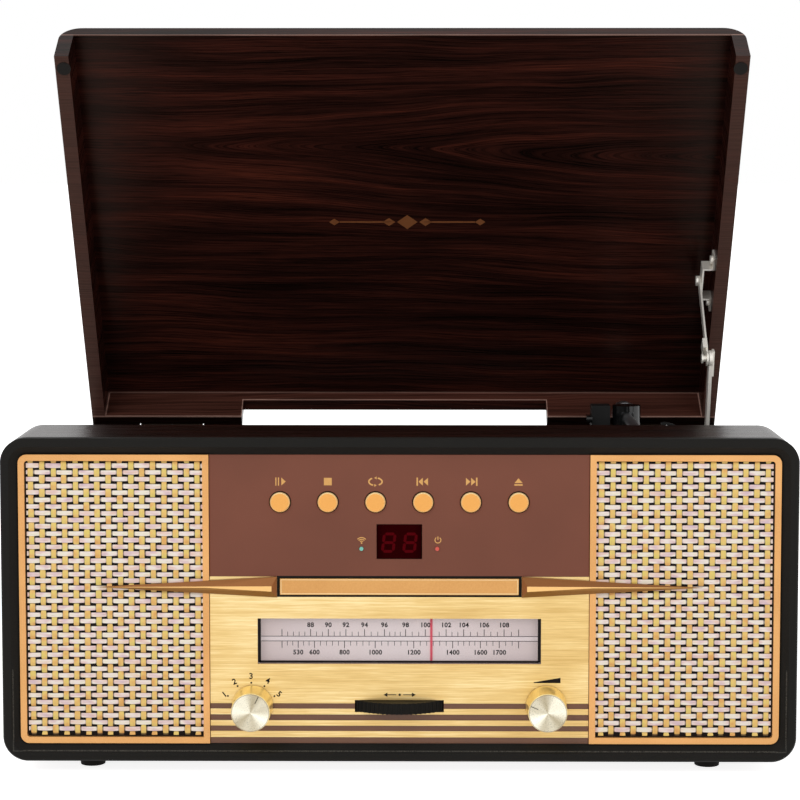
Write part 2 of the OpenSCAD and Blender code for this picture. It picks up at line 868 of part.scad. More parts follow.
// Printed dial with the carrier behind it, whose four posts guide the cord
module dial_plate() {
    carrier_top = cord_high + 0.8;
    color("#cfc6c8") placed() {
        block([-dial_w / 2 + 1, plate_y, dial_z - dial_h / 2 + 1],
            [dial_w / 2 - 1, carrier_y, dial_z + dial_h / 2 - 0.4]);
        slab(carrier_y, carrier_back) polygon([
            [-boss_x - 4, carrier_top], [boss_x + 4, carrier_top], [boss_x + 4, dial_z - dial_h / 2 - 4],
            [post_low_x + 8, cord_low - 2], [-post_low_x - 8, cord_low - 2],
            [-boss_x - 4, dial_z - dial_h / 2 - 4]
        ]);
        for (sx = [-1, 1]) {
            rod_y(sx * post_low_x, cord_low + post_r + cord_r, 2 * post_r, carrier_back, cord_y + 1.6);
            rod_y(sx * post_high_x, cord_high - post_r - cord_r, 2 * post_r, carrier_back, cord_y + 1.6);
        }
    }
}

// Thin bar in front of the dial, hooked over its top edge to a clip on the cord
module dial_pointer() {
    bar_t = 0.6;
    bar_w = 1.3;
    front = plate_y - bar_t - pointer_gap;
    back = cord_y + 2;
    top = cord_high + 2.6;
    color("#d04a58") placed() translate([pointer_x, 0, 0]) {
        block([-bar_w / 2, front, dial_z - dial_h / 2 + 0.6], [bar_w / 2, front + bar_t, top]);
        block([-bar_w / 2 - 1, front, cord_high + 1.2], [bar_w / 2 + 1, back, top]);
        block([-bar_w / 2 - 1, cord_y + cord_r + 0.1, cord_high - 1], [bar_w / 2 + 1, back, top]);
    }
}

// Convex outline around the four posts that guide the cord
module around_posts(r) {
    hull() for (sx = [-1, 1]) {
        translate([sx * post_low_x, cord_low + post_r + cord_r]) circle(r);
        translate([sx * post_high_x, cord_high - post_r - cord_r]) circle(r);
    }
}

// Closed loop around the four posts, level at the top and along the drum
module dial_cord() {
    inner = post_r + cord_slack;
    color("#d8d2c4") placed() slab(cord_y - cord_r, cord_y + cord_r) difference() {
        around_posts(inner + 2 * cord_r);
        around_posts(inner);
    }
}

// Spur gear outline with straight-sided teeth
module gear_outline(teeth, module_size, shift) {
    r = teeth * module_size / 2;
    root = r - 1.15 * module_size;
    tip = r + 0.8 * module_size;
    base_half = 0.95 * module_size;
    tip_half = 0.32 * module_size;
    circle(root);
    for (i = [0 : teeth - 1]) rotate([0, 0, (i + shift) * 360 / teeth])
        polygon([[root - 0.4, -base_half], [tip, -tip_half], [tip, tip_half], [root - 0.4, base_half]]);
}

// Thumbwheel with ribs, its cord drum and its pinion, moulded in one piece
module tuning_wheel() {
    rib_r = PI * wheel_r / wheel_ribs / 2;
    color(black) placed() translate([0, wheel_y, 0]) difference() {
        union() {
            translate([0, 0, wheel_z]) cylinder(r = wheel_r - rib_r, h = wheel_t, $fn = 96);
            translate([0, 0, wheel_z]) linear_extrude(height = wheel_t) for (i = [0 : wheel_ribs - 1])
                rotate([0, 0, i * 360 / wheel_ribs]) translate([wheel_r - rib_r, 0]) circle(rib_r, $fn = 6);
            translate([0, 0, drum_z0 - eps]) cylinder(r = drum_r, h = drum_h + eps);
            translate([0, 0, pinion_z0 - eps]) linear_extrude(height = pinion_h + eps)
                gear_outline(pinion_teeth, gear_module, 0);
        }
        translate([0, 0, wheel_z - 1])
            cylinder(d = axle_d + 2 * shaft_gap, h = wheel_t + drum_h + pinion_h + 2);
    }
}

// Gear on the tuning capacitor's shaft; a tooth gap faces the pinion's tooth
module tuning_gear() {
    shift = 0.25 * gear_teeth % 1;
    pinion_shift = 0.25 * pinion_teeth % 1;
    color("#d8d8d0") placed() translate([0, gear_y, 0]) {
        translate([0, 0, pinion_z0 + 0.4]) linear_extrude(height = pinion_h - 0.8)
            gear_outline(gear_teeth, gear_module, 0.5 - shift - pinion_shift);
        translate([0, 0, pinion_z0 + pinion_h - 0.4 - eps])
            cylinder(d = axle_d, h = gap_above_gear + 0.4 + 6);
    }
}

// Steel bracket with the wheel's axle, and the tuning capacitor fixed under its top flange
module tuning_bracket() {
    color(nickel) placed() {
        block([-bracket_half, wheel_y - bracket_front, bracket_z0 - bracket_t],
            [bracket_half, bracket_back, bracket_z0]);
        block([-bracket_half, bracket_back - bracket_t, floor_z],
            [bracket_half, bracket_back, bracket_z1 + bracket_t]);
        block([-bracket_half, gear_y - capacitor_w / 2, bracket_z1],
            [bracket_half, bracket_back, bracket_z1 + bracket_t]);
        for (y = [wheel_y - bracket_front + bracket_post_d / 2, bracket_back - 2 * bracket_post_d])
            translate([0, y, floor_z]) cylinder(d = bracket_post_d, h = bracket_z0 - floor_z);
        translate([0, wheel_y, bracket_z0 - eps]) cylinder(d = axle_d, h = pinion_z0 + pinion_h - bracket_z0);
        difference() {
            block([-capacitor_w / 2, gear_y - capacitor_w / 2, capacitor_z],
                [capacitor_w / 2, gear_y + capacitor_w / 2, bracket_z1]);
            translate([0, gear_y, capacitor_z - 1]) cylinder(d = axle_d + 2 * shaft_gap, h = socket_l + 1);
        }
    }
}

// Loader chassis: floor, two grooved side rails, ears on the baffle and a bridge that holds the clamp
module cd_loader_frame() {
    color("#3a3c40") placed() {
        difference() {
            union() {
                block([-rail_out, loader_y0, loader_z0], [rail_out, loader_y1, loader_z1]);
                block([-rail_out - ear_w, loader_y0, loader_z0],
                    [rail_out + ear_w, loader_y0 + ear_t, loader_z0 + ear_h]);
            }
            block([-rail_in, loader_y0 - 1, loader_z0 + loader_floor], [rail_in, loader_y1 + 1, loader_z1 + 1]);
            block([-tray_w / 2 - run_gap, loader_y0 - 1, tray_z - run_gap],
                [tray_w / 2 + run_gap, loader_y1 + 1, tray_z + tray_t + run_gap]);
            translate([0, hub_y, loader_z0 - 1]) cylinder(d = hub_shaft_d + 2 * shaft_gap, h = loader_floor + 2);
        }
        block([-rail_out, hub_y - bridge_l / 2, loader_z1 - 1], [rail_out, hub_y + bridge_l / 2, loader_z1 + 1]);
        translate([0, hub_y, tray_z + tray_t + clamp_gap])
            cylinder(d = hub_d, h = loader_z1 - tray_z - tray_t - clamp_gap + 1);
        for (sx = [-1, 1]) {
            rod_y(sx * rail_x, rail_z, rail_d, hub_y + hub_d / 2 + 1, sled_y + sled_l + sled_travel + 6);
            for (y = [hub_y + hub_d / 2 + 1, sled_y + sled_l + sled_travel + rail_block_t])
                block([sx * rail_x - rail_block / 2, y, loader_z0 + loader_floor - 1],
                    [sx * rail_x + rail_block / 2, y + rail_block_t, rail_z + rail_block / 2]);
        }
    }
}

// Tray with a round recess, open from the disc's middle to its back so that it passes the hub
module cd_tray() {
    color("#4a4c50") placed() difference() {
        block([-tray_w / 2, tray_y, tray_z], [tray_w / 2, tray_y + tray_l, tray_z + tray_t]);
        translate([0, hub_y, tray_z + tray_t - 2]) cylinder(d = disc_d, h = 3, $fn = 96);
        translate([0, hub_y, tray_z - 1]) cylinder(d = tray_slot_w, h = tray_t + 2);
        block([-tray_slot_w / 2, hub_y, tray_z - 1], [tray_slot_w / 2, tray_y + tray_l + 1, tray_z + tray_t + 1]);
    }
}

module cd_door() {
    color(gold) placed() block([-door_w / 2, recess - 1, door_z - door_h / 2],
        [door_w / 2, tray_y, door_z + door_h / 2]);
}

// Hub that carries the disc, on its motor's shaft through the loader's floor
module disc_hub() {
    hub_z = loader_z0 + loader_floor + 1.5;
    color("#d0d2d4") placed() translate([0, hub_y, 0]) {
        translate([0, 0, loader_z0 - 3]) cylinder(d = hub_shaft_d, h = hub_z - loader_z0 + 3.5);
        translate([0, 0, hub_z]) cylinder(d = hub_d, h = tray_z + tray_t - 2.6 - hub_z);
        translate([0, 0, tray_z + tray_t - 2.6 - eps]) cylinder(d1 = 14.8, d2 = 12, h = 2.4);
    }
}

// Sled on two rails with the lens on top
module laser_sled() {
    color("#26282c") placed() {
        difference() {
            block([-sled_w / 2, sled_y, rail_z - 2.6], [sled_w / 2, sled_y + sled_l, rail_z + 3.4]);
            for (sx = [-1, 1]) rod_y(sx * rail_x, rail_z, rail_d + 2 * shaft_gap, sled_y - 1, sled_y + sled_l + 1);
        }
        translate([0, sled_y + sled_l / 2, rail_z + 3.4 - eps]) cylinder(d = 6, h = 1.2);
    }
}

board_w = 150;
board_l = 110;
board_post = 5;
board_side = 26;
board_back = 24;
board_post_d = 7;
board_post_in = 6;
fin_n = 6;
fin_pitch = 5;
fin_t = 2;
fin_h = 34;
sink_x = 30;
sink_y = 20;
sink_w = 50;
can_d = 16;
can_h = 28;
can_x = [100, 122];
can_y = 34;

// Amplifier and radio board on four posts, with its heat sink and two large capacitors
module main_board() {
    x0 = -inner_half + board_side;
    y0 = inner_back - board_l - board_back;
    z0 = floor_z + board_post;
    sink_l = (fin_n - 1) * fin_pitch + fin_t;
    color(green) placed() {
        block([x0, y0, z0], [x0 + board_w, y0 + board_l, z0 + board_t]);
        for (x = [x0 + board_post_in, x0 + board_w - board_post_in])
            for (y = [y0 + board_post_in, y0 + board_l - board_post_in])
                translate([x, y, floor_z]) cylinder(d = board_post_d, h = board_post + eps);
        for (i = [0 : fin_n - 1])
            block([x0 + sink_x, y0 + sink_y + i * fin_pitch, z0],
                [x0 + sink_x + sink_w, y0 + sink_y + i * fin_pitch + fin_t, z0 + fin_h]);
        block([x0 + sink_x, y0 + sink_y, z0], [x0 + sink_x + sink_w, y0 + sink_y + sink_l, z0 + fin_pitch]);
        for (x = can_x) translate([x0 + x, y0 + can_y, z0]) cylinder(d = can_d, h = can_h);
    }
}

transformer_w = 52;
transformer_h = 44;
transformer_t = 24;
transformer_side = 84;
transformer_back = 76;
winding_w = 32;
winding_t = 40;
winding_z = 7;
mount_foot = 9;
mount_w = 18;
mount_t = 2.5;

// Mains transformer: iron core, winding and mounting feet
module power_transformer() {
    color("#77787a") placed() translate([inner_half - transformer_side, inner_back - transformer_back, floor_z]) {
        block([-transformer_w / 2, -transformer_t / 2, mount_t - 0.5],
            [transformer_w / 2, transformer_t / 2, transformer_h]);
        block([-winding_w / 2, -winding_t / 2, winding_z + mount_t - 0.5],
            [winding_w / 2, winding_t / 2, transformer_h - winding_z]);
        block([-transformer_w / 2 - mount_foot, -mount_w / 2, 0],
            [transformer_w / 2 + mount_foot, mount_w / 2, mount_t]);
    }
}

// Two phono sockets and one jack socket, each a barrel with its bore
module audio_sockets() {
    for (i = [0 : 2]) {
        x = socket_x - i * socket_pitch;
        difference() {
            union() {
                rod_y(x, socket_z, socket_d - 0.2, inner_back - 12, cab_d + 1);
                rod_y(x, socket_z, socket_d + 3, inner_back - 4, inner_back);
                rod_y(x, socket_z, i < 2 ? phono_d : socket_d - 0.2, cab_d, cab_d + (i < 2 ? phono_l : 2));
            }
            rod_y(x, socket_z, jack_d, inner_back - 6, cab_d + 20);
        }
    }
}

// Two-pole mains inlet with a figure-of-eight mouth
module mains_inlet() {
    mouth = 8.4;
    waist = 6;
    difference() {
        union() {
            block([inlet_x - inlet_w / 2 + 0.2, inner_back - 10, inlet_z - inlet_h / 2 + 0.2],
                [inlet_x + inlet_w / 2 - 0.2, cab_d, inlet_z + inlet_h / 2 - 0.2]);
            block([inlet_x - inlet_w / 2 - 3, cab_d, inlet_z - inlet_h / 2 - 3],
                [inlet_x + inlet_w / 2 + 3, cab_d + 2, inlet_z + inlet_h / 2 + 3]);
        }
        difference() {
            union() {
                for (sx = [-1, 1]) rod_y(inlet_x + sx * mouth / 2, inlet_z, mouth, cab_d - 12, cab_d + 3);
                block([inlet_x - mouth / 2, cab_d - 12, inlet_z - waist / 2],
                    [inlet_x + mouth / 2, cab_d + 3, inlet_z + waist / 2]);
            }
            for (sx = [-1, 1]) rod_y(inlet_x + sx * mouth / 2, inlet_z, 2.4, cab_d - 13, cab_d);
        }
    }
}

module rear_sockets() {
    color(nickel) placed() {
        audio_sockets();
        mains_inlet();
    }
}

// Deck plate with the platter's well, the bearing, the motor's hole and the stay's notch
module deck_plate() {
    color(black) placed() {
        difference() {
            union() {
                block([-deck_half, strip_d - wall, deck_bottom], [deck_half, inner_back - fit_gap, deck_z]);
                translate([platter_x, platter_y, well_z - deck_t])
                    cylinder(r = well_r + deck_t, h = well_depth + deck_t - 1, $fn = 96);
                translate([platter_x, platter_y, well_z - bearing_drop])
                    cylinder(d = bearing_d, h = bearing_drop);
            }
            translate([platter_x, platter_y, well_z]) cylinder(r = well_r, h = well_depth + 5, $fn = 96);
            translate([platter_x, platter_y, well_z - bearing_drop - 1])
                cylinder(d = shaft_lower_d + 2 * shaft_gap, h = bearing_drop + 5);
            translate([pulley_pos[0], pulley_pos[1], well_z - deck_t - 1])
                cylinder(r = pulley_r + 2, h = deck_t + 2);
            block([stay_edge, stay_gap_y0, deck_bottom - 1], [deck_half + 1, stay_gap_y1, deck_z + 1]);
            for (p = deck_screws())
                translate([p[0], p[1], deck_bottom - 1]) cylinder(d = screw_d, h = deck_t + 2);
            block([switch_x - switch_stem_w / 2 - switch_gap, switch_deck_y - switch_stem_l / 2 - switch_gap,
                deck_bottom - 1], [switch_x + switch_stem_w / 2 + switch_gap,
                switch_deck_y + switch_stem_l / 2 + switch_gap + switch_travel, deck_z + 1]);
        }
    }
}

module platter() {
    color("#b8babd") placed() translate([platter_x, platter_y, 0]) difference() {
        union() {
            translate([0, 0, platter_z]) cylinder(d = platter_d, h = platter_t, $fn = 96);
            translate([0, 0, ring_z]) difference() {
                cylinder(r = ring_r, h = platter_z - ring_z + eps, $fn = 96);
                translate([0, 0, -1]) cylinder(r = ring_r - ring_w, h = platter_z - ring_z + 2, $fn = 96);
            }
            translate([0, 0, well_z + 0.6]) cylinder(d = bearing_d + 4, h = platter_z - well_z);
        }
        translate([0, 0, well_z]) cylinder(d = shaft_lower_d, h = platter_z + platter_t - well_z + 1);
    }
}

module slip_mat() {
    color("#151515") placed() translate([platter_x, platter_y, platter_z + platter_t]) difference() {
        cylinder(d = platter_d - 2, h = mat_t, $fn = 96);
        translate([0, 0, -1]) cylinder(d = shaft_lower_d + 0.8, h = mat_t + 2);
    }
}

// Spindle: the shaft that turns in the deck's bearing, and the free pin for a record above the mat
module spindle() {
    shaft_top = spindle_top - spindle_d / 2;
    color(nickel) placed() translate([platter_x, platter_y, 0]) {
        translate([0, 0, spindle_low]) cylinder(d = shaft_lower_d, h = mat_top - spindle_low);
        translate([0, 0, mat_top - eps]) cylinder(d = spindle_d, h = shaft_top - mat_top + eps);
        translate([0, 0, shaft_top]) sphere(d = spindle_d);
    }
}

module platter_motor() {
    color("#9a9c9e") placed() translate([pulley_pos[0], pulley_pos[1], 0]) {
        difference() {
            translate([0, 0, well_z - deck_t - motor_l]) cylinder(d = motor_d, h = motor_l);
            translate([0, 0, well_z - deck_t - 6]) cylinder(d = 2 + 2 * shaft_gap, h = 7);
        }
    }
}

module motor_pulley() {
    color("#d9b45a") placed() translate([pulley_pos[0], pulley_pos[1], 0]) {
        translate([0, 0, well_z - deck_t - 5]) cylinder(d = 2, h = deck_t + 6);
        translate([0, 0, well_z + 0.4]) cylinder(r = pulley_r, h = platter_z - well_z - 1);
    }
}

// Flat belt around the platter's ring and the motor pulley
module drive_belt() {
    inner = belt_gap;
    outer = belt_gap + belt_t;
    color("#101010") placed() translate([platter_x, platter_y, belt_z]) rotate([0, 0, motor_dir])
        linear_extrude(height = belt_h) difference() {
            hull() {
                circle(ring_r + outer, $fn = 120);
                translate([pulley_c, 0]) circle(pulley_r + outer, $fn = 32);
            }
            hull() {
                circle(ring_r + inner, $fn = 120);
                translate([pulley_c, 0]) circle(pulley_r + inner, $fn = 32);
            }
        }
}

// Rest for the arm: a shelf under the tube, open towards the platter, with a stop that carries the clip's pin
module arm_rest() {
    stop_x = arm_x + arm_d / 2 + rest_gap;
    block([arm_x - rest_w / 2, rest_y - rest_t / 2, deck_z],
        [stop_x - rest_split, rest_y + rest_t / 2, arm_z - arm_d / 2 - rest_gap]);
    difference() {
        block([stop_x, rest_y - rest_t / 2, deck_z], [clip_x + clip_post, rest_y + rest_t / 2, arm_z + 1]);
        rod_y(clip_x, clip_z, clip_pin_d + 2 * shaft_gap, rest_y - rest_t / 2 - 1,
            rest_y - rest_t / 2 + clip_pin_l + rest_gap);
    }
}

// Foot of the tonearm with its bearing post and the lift tower beside it, and the arm's rest
module tonearm_base() {
    color(black) placed() {
        translate([arm_x, arm_y, deck_z]) cylinder(d = yoke_d + 2 * arm_foot_w, h = arm_foot_t);
        translate([arm_x, arm_y, deck_z]) cylinder(d = post_d, h = arm_foot_t + post_l);
        block([tower_x, arm_y - tower_front, deck_z], [arm_x - 4, arm_y + tower_back, deck_z + arm_foot_t]);
        difference() {
            block([tower_x, arm_y - tower_front, deck_z], [tower_x + tower_w, arm_y + tower_back, yoke_top]);
            rod_x(arm_y + lever_back, arm_z, lever_d + 2 * shaft_gap, tower_x - 1, tower_x + lever_socket);
        }
        arm_rest();
    }
}

// Yoke that swings on the post, with a fork for the arm and its cross pin
module tonearm_yoke() {
    fork = arm_d + 1;
    color(black) placed() translate([arm_x, arm_y, 0]) {
        difference() {
            translate([0, 0, yoke_z0]) cylinder(d = yoke_d, h = yoke_top - yoke_z0);
            translate([0, 0, yoke_z0 - 1]) cylinder(d = post_d + 2 * shaft_gap, h = post_l + 1.5);
            block([-fork / 2, -yoke_d, arm_z - arm_d / 2 - 0.8], [fork / 2, yoke_d, arm_z + arm_d / 2 + 0.8]);
        }
        rod_x(0, arm_z, 2, -fork / 2 - 1, fork / 2 + 1);
    }
}

// Tube with its counterweight at the back, and at the front the turned head with cartridge and stylus
module tonearm() {
    color("#c9c9c6") placed() translate([arm_x, arm_y, arm_z]) difference() {
        union() {
            rod_y(0, 0, arm_d, -arm_l + head_l - 8, 14);
            rod_y(0, 0, weight_d, 13, 13 + weight_l);
            translate([0, -arm_l + 6, 0]) rotate([0, 0, -head_turn]) {
                block([-head_w / 2, -10, -arm_d / 2], [head_w / 2, head_l - 10, -arm_d / 2 + head_h]);
                block([-5, -7, -arm_d / 2 - 1.5], [5, 8, -arm_d / 2 + eps]);
                block([-0.6, -6.5, -arm_d / 2 - 2.6], [0.6, -5.3, -arm_d / 2 - 1.4]);
            }
        }
        rod_x(0, 0, 2 + 2 * shaft_gap, -arm_d, arm_d);
    }
}

// Hooked latch that turns over the arm on its pin, shown turned away, with a tab for the finger
module arm_clip() {
    back = rest_y - rest_t / 2 - rest_gap / 2;
    spoke = clip_r + clip_t / 2;
    color("#2a2a2a") placed() {
        slab(back - clip_w, back) translate([clip_x, clip_z]) {
            circle(d = clip_hub_d);
            intersection() {
                difference() {
                    circle(clip_r + clip_t);
                    circle(clip_r);
                }
                polygon([[0, 0], for (a = [clip_hook[0] : 17.5 : clip_hook[1]]) 2 * clip_r * [cos(a), sin(a)]]);
            }
            rotate(clip_hook[0]) translate([0, -clip_t / 2]) square([spoke, clip_t]);
            translate([-clip_t / 2, -clip_tab]) square([clip_t, clip_tab]);
        }
        rod_y(clip_x, clip_z, clip_pin_d, back - eps, back + clip_pin_l);
    }
}

bumper_t = 0.7;
bumper_pin_d = 4;
bumper_pin_l = 5;
bumper_y = -lid_l + 8.4;
bumper_x = half_w - wall / 2 - 1;

// Moves a part drawn on the closed lid, hinge edge at the origin, to the open lid
module on_lid() {
    placed() translate([0, hinge_y, hinge_z]) rotate([-lid_open, 0, 0]) children();
}

// Lid: top panel, two side walls and a back wall, open at its front end
module lid_shell() {
    back = leaf_t / 2;
    notch_c = platter_x;
    color(wood) on_lid() difference() {
        slab(-lid_l - back, -back) round_rect(cab_w, lid_h - cab_h, lid_h, corner_r);
        block([-half_w - 1, -lid_l - 9, -cab_h], [half_w + 1, 9, 0]);
        block([-inner_half, -lid_l - 9, -1], [inner_half, -back - wall, lid_h - lid_panel_t]);
        block([notch_c - notch_w / 2, -back - wall - 1, -1], [notch_c + notch_w / 2, 9, notch_h]);
        for (sx = [-1, 1])
            rod_x(0, 0, 2 * knuckle_r + 1.2, sx * hinge_x - hinge_l / 2 - 1, sx * hinge_x + hinge_l / 2 + 1);
        for (sx = [-1, 1]) translate([sx * bumper_x, bumper_y, -1])
            cylinder(d = bumper_pin_d, h = bumper_pin_l + 1);
    }
}

leaf_h = 26;
hinge_pin_d = 3;

// Lift-off hinges, the half on the lid: leaf and outer knuckle
module lid_leaf(sx) {
    x0 = sx * hinge_x;
    difference() {
        union() {
            rod_x(0, 0, 2 * knuckle_r, x0 - hinge_l / 2, x0 - 0.3);
            block([x0 - hinge_l / 2, -leaf_t / 2, 0], [x0 - 0.3, leaf_t / 2, knuckle_r]);
            block([x0 - hinge_l / 2, -leaf_t / 2, knuckle_r - eps], [x0 + hinge_l / 2, leaf_t / 2, leaf_h]);
        }
        rod_x(0, 0, hinge_pin_d + 2 * shaft_gap, x0 - hinge_l / 2 - 1, x0 + 1);
        block([x0 - 0.3, -5, -5], [x0 + hinge_l / 2 + 1, 5, knuckle_r + 0.9]);
    }
}

module lid_hinges() {
    color(nickel) on_lid() for (sx = [-1, 1]) lid_leaf(sx);
}

// The half on the cabinet: leaf, inner knuckle and the fixed pin that the lid's half lifts off
module cabinet_hinges() {
    color(nickel) placed() translate([0, hinge_y, hinge_z]) for (sx = [-1, 1]) {
        x0 = sx * hinge_x;
        block([x0 - hinge_l / 2, -leaf_t / 2, -leaf_h], [x0 + hinge_l / 2, leaf_t / 2, -knuckle_r - 1]);
        block([x0 + 0.3, -leaf_t / 2, -leaf_h], [x0 + hinge_l / 2, leaf_t / 2, 0]);
        rod_x(0, 0, 2 * knuckle_r, x0 + 0.3, x0 + hinge_l / 2);
        rod_x(0, 0, hinge_pin_d, x0 - hinge_l / 2 + 2, x0 + 1);
    }
}

module lid_bumpers() {
    color(black) on_lid() for (sx = [-1, 1]) translate([sx * bumper_x, bumper_y, 0]) {
        translate([0, 0, -bumper_t]) cylinder(d = bumper_d, h = bumper_t);
        translate([0, 0, -eps]) cylinder(d = bumper_pin_d, h = bumper_pin_l);
    }
}

// Moves a stay part drawn in the plane of its arm, pivot at the origin and arm along +X, to its place.
// The part's thickness runs from 0 along the cabinet's +X.
module in_stay_plane(x, pivot, direction) {
    placed() translate([x, hinge_y + pivot[0], hinge_z + pivot[1]]) rotate([direction, 0, 0])
        rotate([90, 0, 90]) children();
}

// Strip with round ends along +X
module strip(length, w, t) {
    cylinder(d = w, h = t);
    translate([0, -w / 2, 0]) cube([length, w, t]);
    translate([length, 0, 0]) cylinder(d = w, h = t);
}

// Bent strip on the lid's side wall: two feet with screws and a raised middle that carries the pivot pin
module stay_bracket() {
    half_l = 17.5;
    pad = 5;
    raised = inner_half - upper_x - arm_strip_t - 0.3;
    raised_x = inner_half - raised;
    color(nickel) on_lid() {
        for (s = [-1, 1]) {
            y = -stay_u + s * half_l;
            block([inner_half - arm_strip_t, y - pad, stay_w - pad], [inner_half, y + pad, stay_w + pad]);
            rod_x(y, stay_w, 6, inner_half - arm_strip_t - 1.6, inner_half - arm_strip_t);
            block([raised_x, -stay_u + s * (half_l - pad) - arm_strip_t / 2, stay_w - pad],
                [inner_half, -stay_u + s * (half_l - pad) + arm_strip_t / 2, stay_w + pad]);
        }
        block([raised_x, -stay_u - half_l + pad, stay_w - pad],
            [raised_x + arm_strip_t, -stay_u + half_l - pad, stay_w + pad]);
        rod_x(-stay_u, stay_w, pin_d, upper_x - 0.3, raised_x + eps);
        rod_x(-stay_u, stay_w, pin_d + 3, upper_x - 1.8, upper_x - 0.2);
    }
}

// Upper arm with its eye on the bracket's pin, and the collar and rivet head of the knuckle
module stay_upper_arm() {
    color(nickel) in_stay_plane(upper_x, pivot_open, upper_dir) {
        difference() {
            union() {
                strip(upper_len, strip_w, arm_strip_t);
                translate([upper_len - 14, -4.5, -2]) cube([8, 9, 2 + arm_strip_t]);
                translate([upper_len, 0, -2.4]) cylinder(d = 4.4, h = 2.4 + eps);
                translate([upper_len, 0, -3.2]) cylinder(d = 6.6, h = 1);
                translate([upper_len, 0, 0]) cylinder(d = strip_w + 3, h = arm_strip_t);
            }
            translate([0, 0, -1]) cylinder(d = pin_d + 2 * pin_gap, h = arm_strip_t + 2);
        }
    }
}

// Lower arm from the shouldered screw on the cabinet's wall to the knuckle, with its short tail
module stay_lower_arm() {
    color(nickel) in_stay_plane(lower_x, foot, lower_dir) difference() {
        union() {
            strip(lower_len, strip_w + 1, lower_strip_t);
            translate([lower_len, 0, 0]) cylinder(d = strip_w + 4, h = lower_strip_t);
            translate([lower_len - 12, -2.5, lower_strip_t - eps]) cube([18, 5, 1.4]);
        }
        translate([0, 0, -1]) cylinder(d = pin_d + 2 * pin_gap, h = lower_strip_t + 2);
    }
}

lever_d = 3;
lever_x = tower_x - 3.4;
lever_l = 16;
lever_tip_d = 5;

// Lever beside the tower that raises the arm, with its cross pin and a round thumb end
module cue_lever() {
    color("#b9b9b6") placed() {
        rod_x(arm_y + lever_back, arm_z, lever_d, lever_x, tower_x + lever_socket - 2);
        block([lever_x, arm_y - lever_l, arm_z - lever_d / 2], [lever_x + 3, arm_y + 4, arm_z + lever_d / 2]);
        rod_x(arm_y - lever_l, arm_z, lever_tip_d, lever_x - 1, lever_x + 3);
    }
}

switch_side = 37;
switch_x = deck_half - switch_side;
switch_deck_y = 120;
switch_travel = 8;
switch_w = 8;
switch_h = 3;
switch_stem_w = 3;
switch_stem_l = 4;
switch_gap = 0.5;

// Speed selector: a ridged slider on the deck
module speed_switch() {
    color(nickel) placed() {
        translate([switch_x, switch_deck_y, 0]) {
            block([-switch_w / 2, -switch_w / 2, deck_z + fit_gap], [switch_w / 2, switch_w / 2, deck_z + switch_h]);
            for (i = [-1 : 1]) block([-switch_w / 2, 2.4 * i - 0.5, deck_z + switch_h - eps],
                [switch_w / 2, 2.4 * i + 0.5, deck_z + switch_h + 1]);
            block([-switch_stem_w / 2, -switch_stem_l / 2, deck_bottom - switch_h],
                [switch_stem_w / 2, switch_stem_l / 2, deck_z + fit_gap + eps]);
            block([-switch_w / 2, -switch_h, deck_bottom - 4], [switch_w / 2, switch_h, deck_bottom - 0.3]);
        }
    }
}

cabinet_shell();
front_frame();
baffle_board();
inner_boards();
back_panel();
cabinet_screws();
feet();
grille_bezels();
grille_cloths();
speakers();
control_panel();
gold_fascia();
spear_trims();
display_window();
status_lights();
control_board();
play_button();
stop_button();
repeat_button();
previous_button();
next_button();
eject_button();
function_knob();
volume_knob();
rotary_controls();
dial_lens();
dial_plate();
dial_pointer();
dial_cord();
tuning_wheel();
tuning_gear();
tuning_bracket();
cd_loader_frame();
cd_tray();
cd_door();
disc_hub();
laser_sled();
main_board();
power_transformer();
rear_sockets();
deck_plate();
platter();
slip_mat();
spindle();
platter_motor();
motor_pulley();
drive_belt();
tonearm_base();
tonearm_yoke();
tonearm();
arm_clip();
cue_lever();
speed_switch();
lid_shell();
lid_hinges();
cabinet_hinges();
lid_bumpers();
stay_bracket();
stay_upper_arm();
stay_lower_arm();
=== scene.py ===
# Stereo music centre: wooden console, woven grilles, brushed gold front and an open lid.
import bpy
import bmesh
import json
import math
import random
from mathutils import Matrix, Vector


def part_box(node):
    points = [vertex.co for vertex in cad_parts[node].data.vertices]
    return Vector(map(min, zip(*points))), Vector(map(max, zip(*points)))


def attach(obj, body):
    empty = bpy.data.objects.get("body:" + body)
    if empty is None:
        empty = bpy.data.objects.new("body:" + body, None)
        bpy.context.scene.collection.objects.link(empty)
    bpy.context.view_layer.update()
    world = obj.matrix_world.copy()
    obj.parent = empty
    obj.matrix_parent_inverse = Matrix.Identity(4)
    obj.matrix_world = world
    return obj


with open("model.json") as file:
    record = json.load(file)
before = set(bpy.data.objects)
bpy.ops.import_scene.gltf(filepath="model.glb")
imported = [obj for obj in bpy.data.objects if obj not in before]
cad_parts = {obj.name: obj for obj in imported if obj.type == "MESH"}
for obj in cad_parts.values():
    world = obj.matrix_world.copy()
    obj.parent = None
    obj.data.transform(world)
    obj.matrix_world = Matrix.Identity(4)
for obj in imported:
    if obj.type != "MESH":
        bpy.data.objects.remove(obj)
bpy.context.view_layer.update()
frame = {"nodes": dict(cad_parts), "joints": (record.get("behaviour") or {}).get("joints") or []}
print("frame loaded:", len(frame["nodes"]), "nodes")

mm = 0.001
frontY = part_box("front_frame")[0][1]  # the front frame's face
lidAngle = math.radians(57.9)
lidHinge = Vector(next(j["pos_m"] for j in frame["joints"] if j["name"] == "lid_hinge"))
lidPlace = Matrix.Translation(lidHinge) @ Matrix.Rotation(-lidAngle, 4, "X")


def front(x, depth, z):
    # a point in mm from the middle, the frame's face and the floor
    return Vector((x * mm, frontY + depth * mm, z * mm))


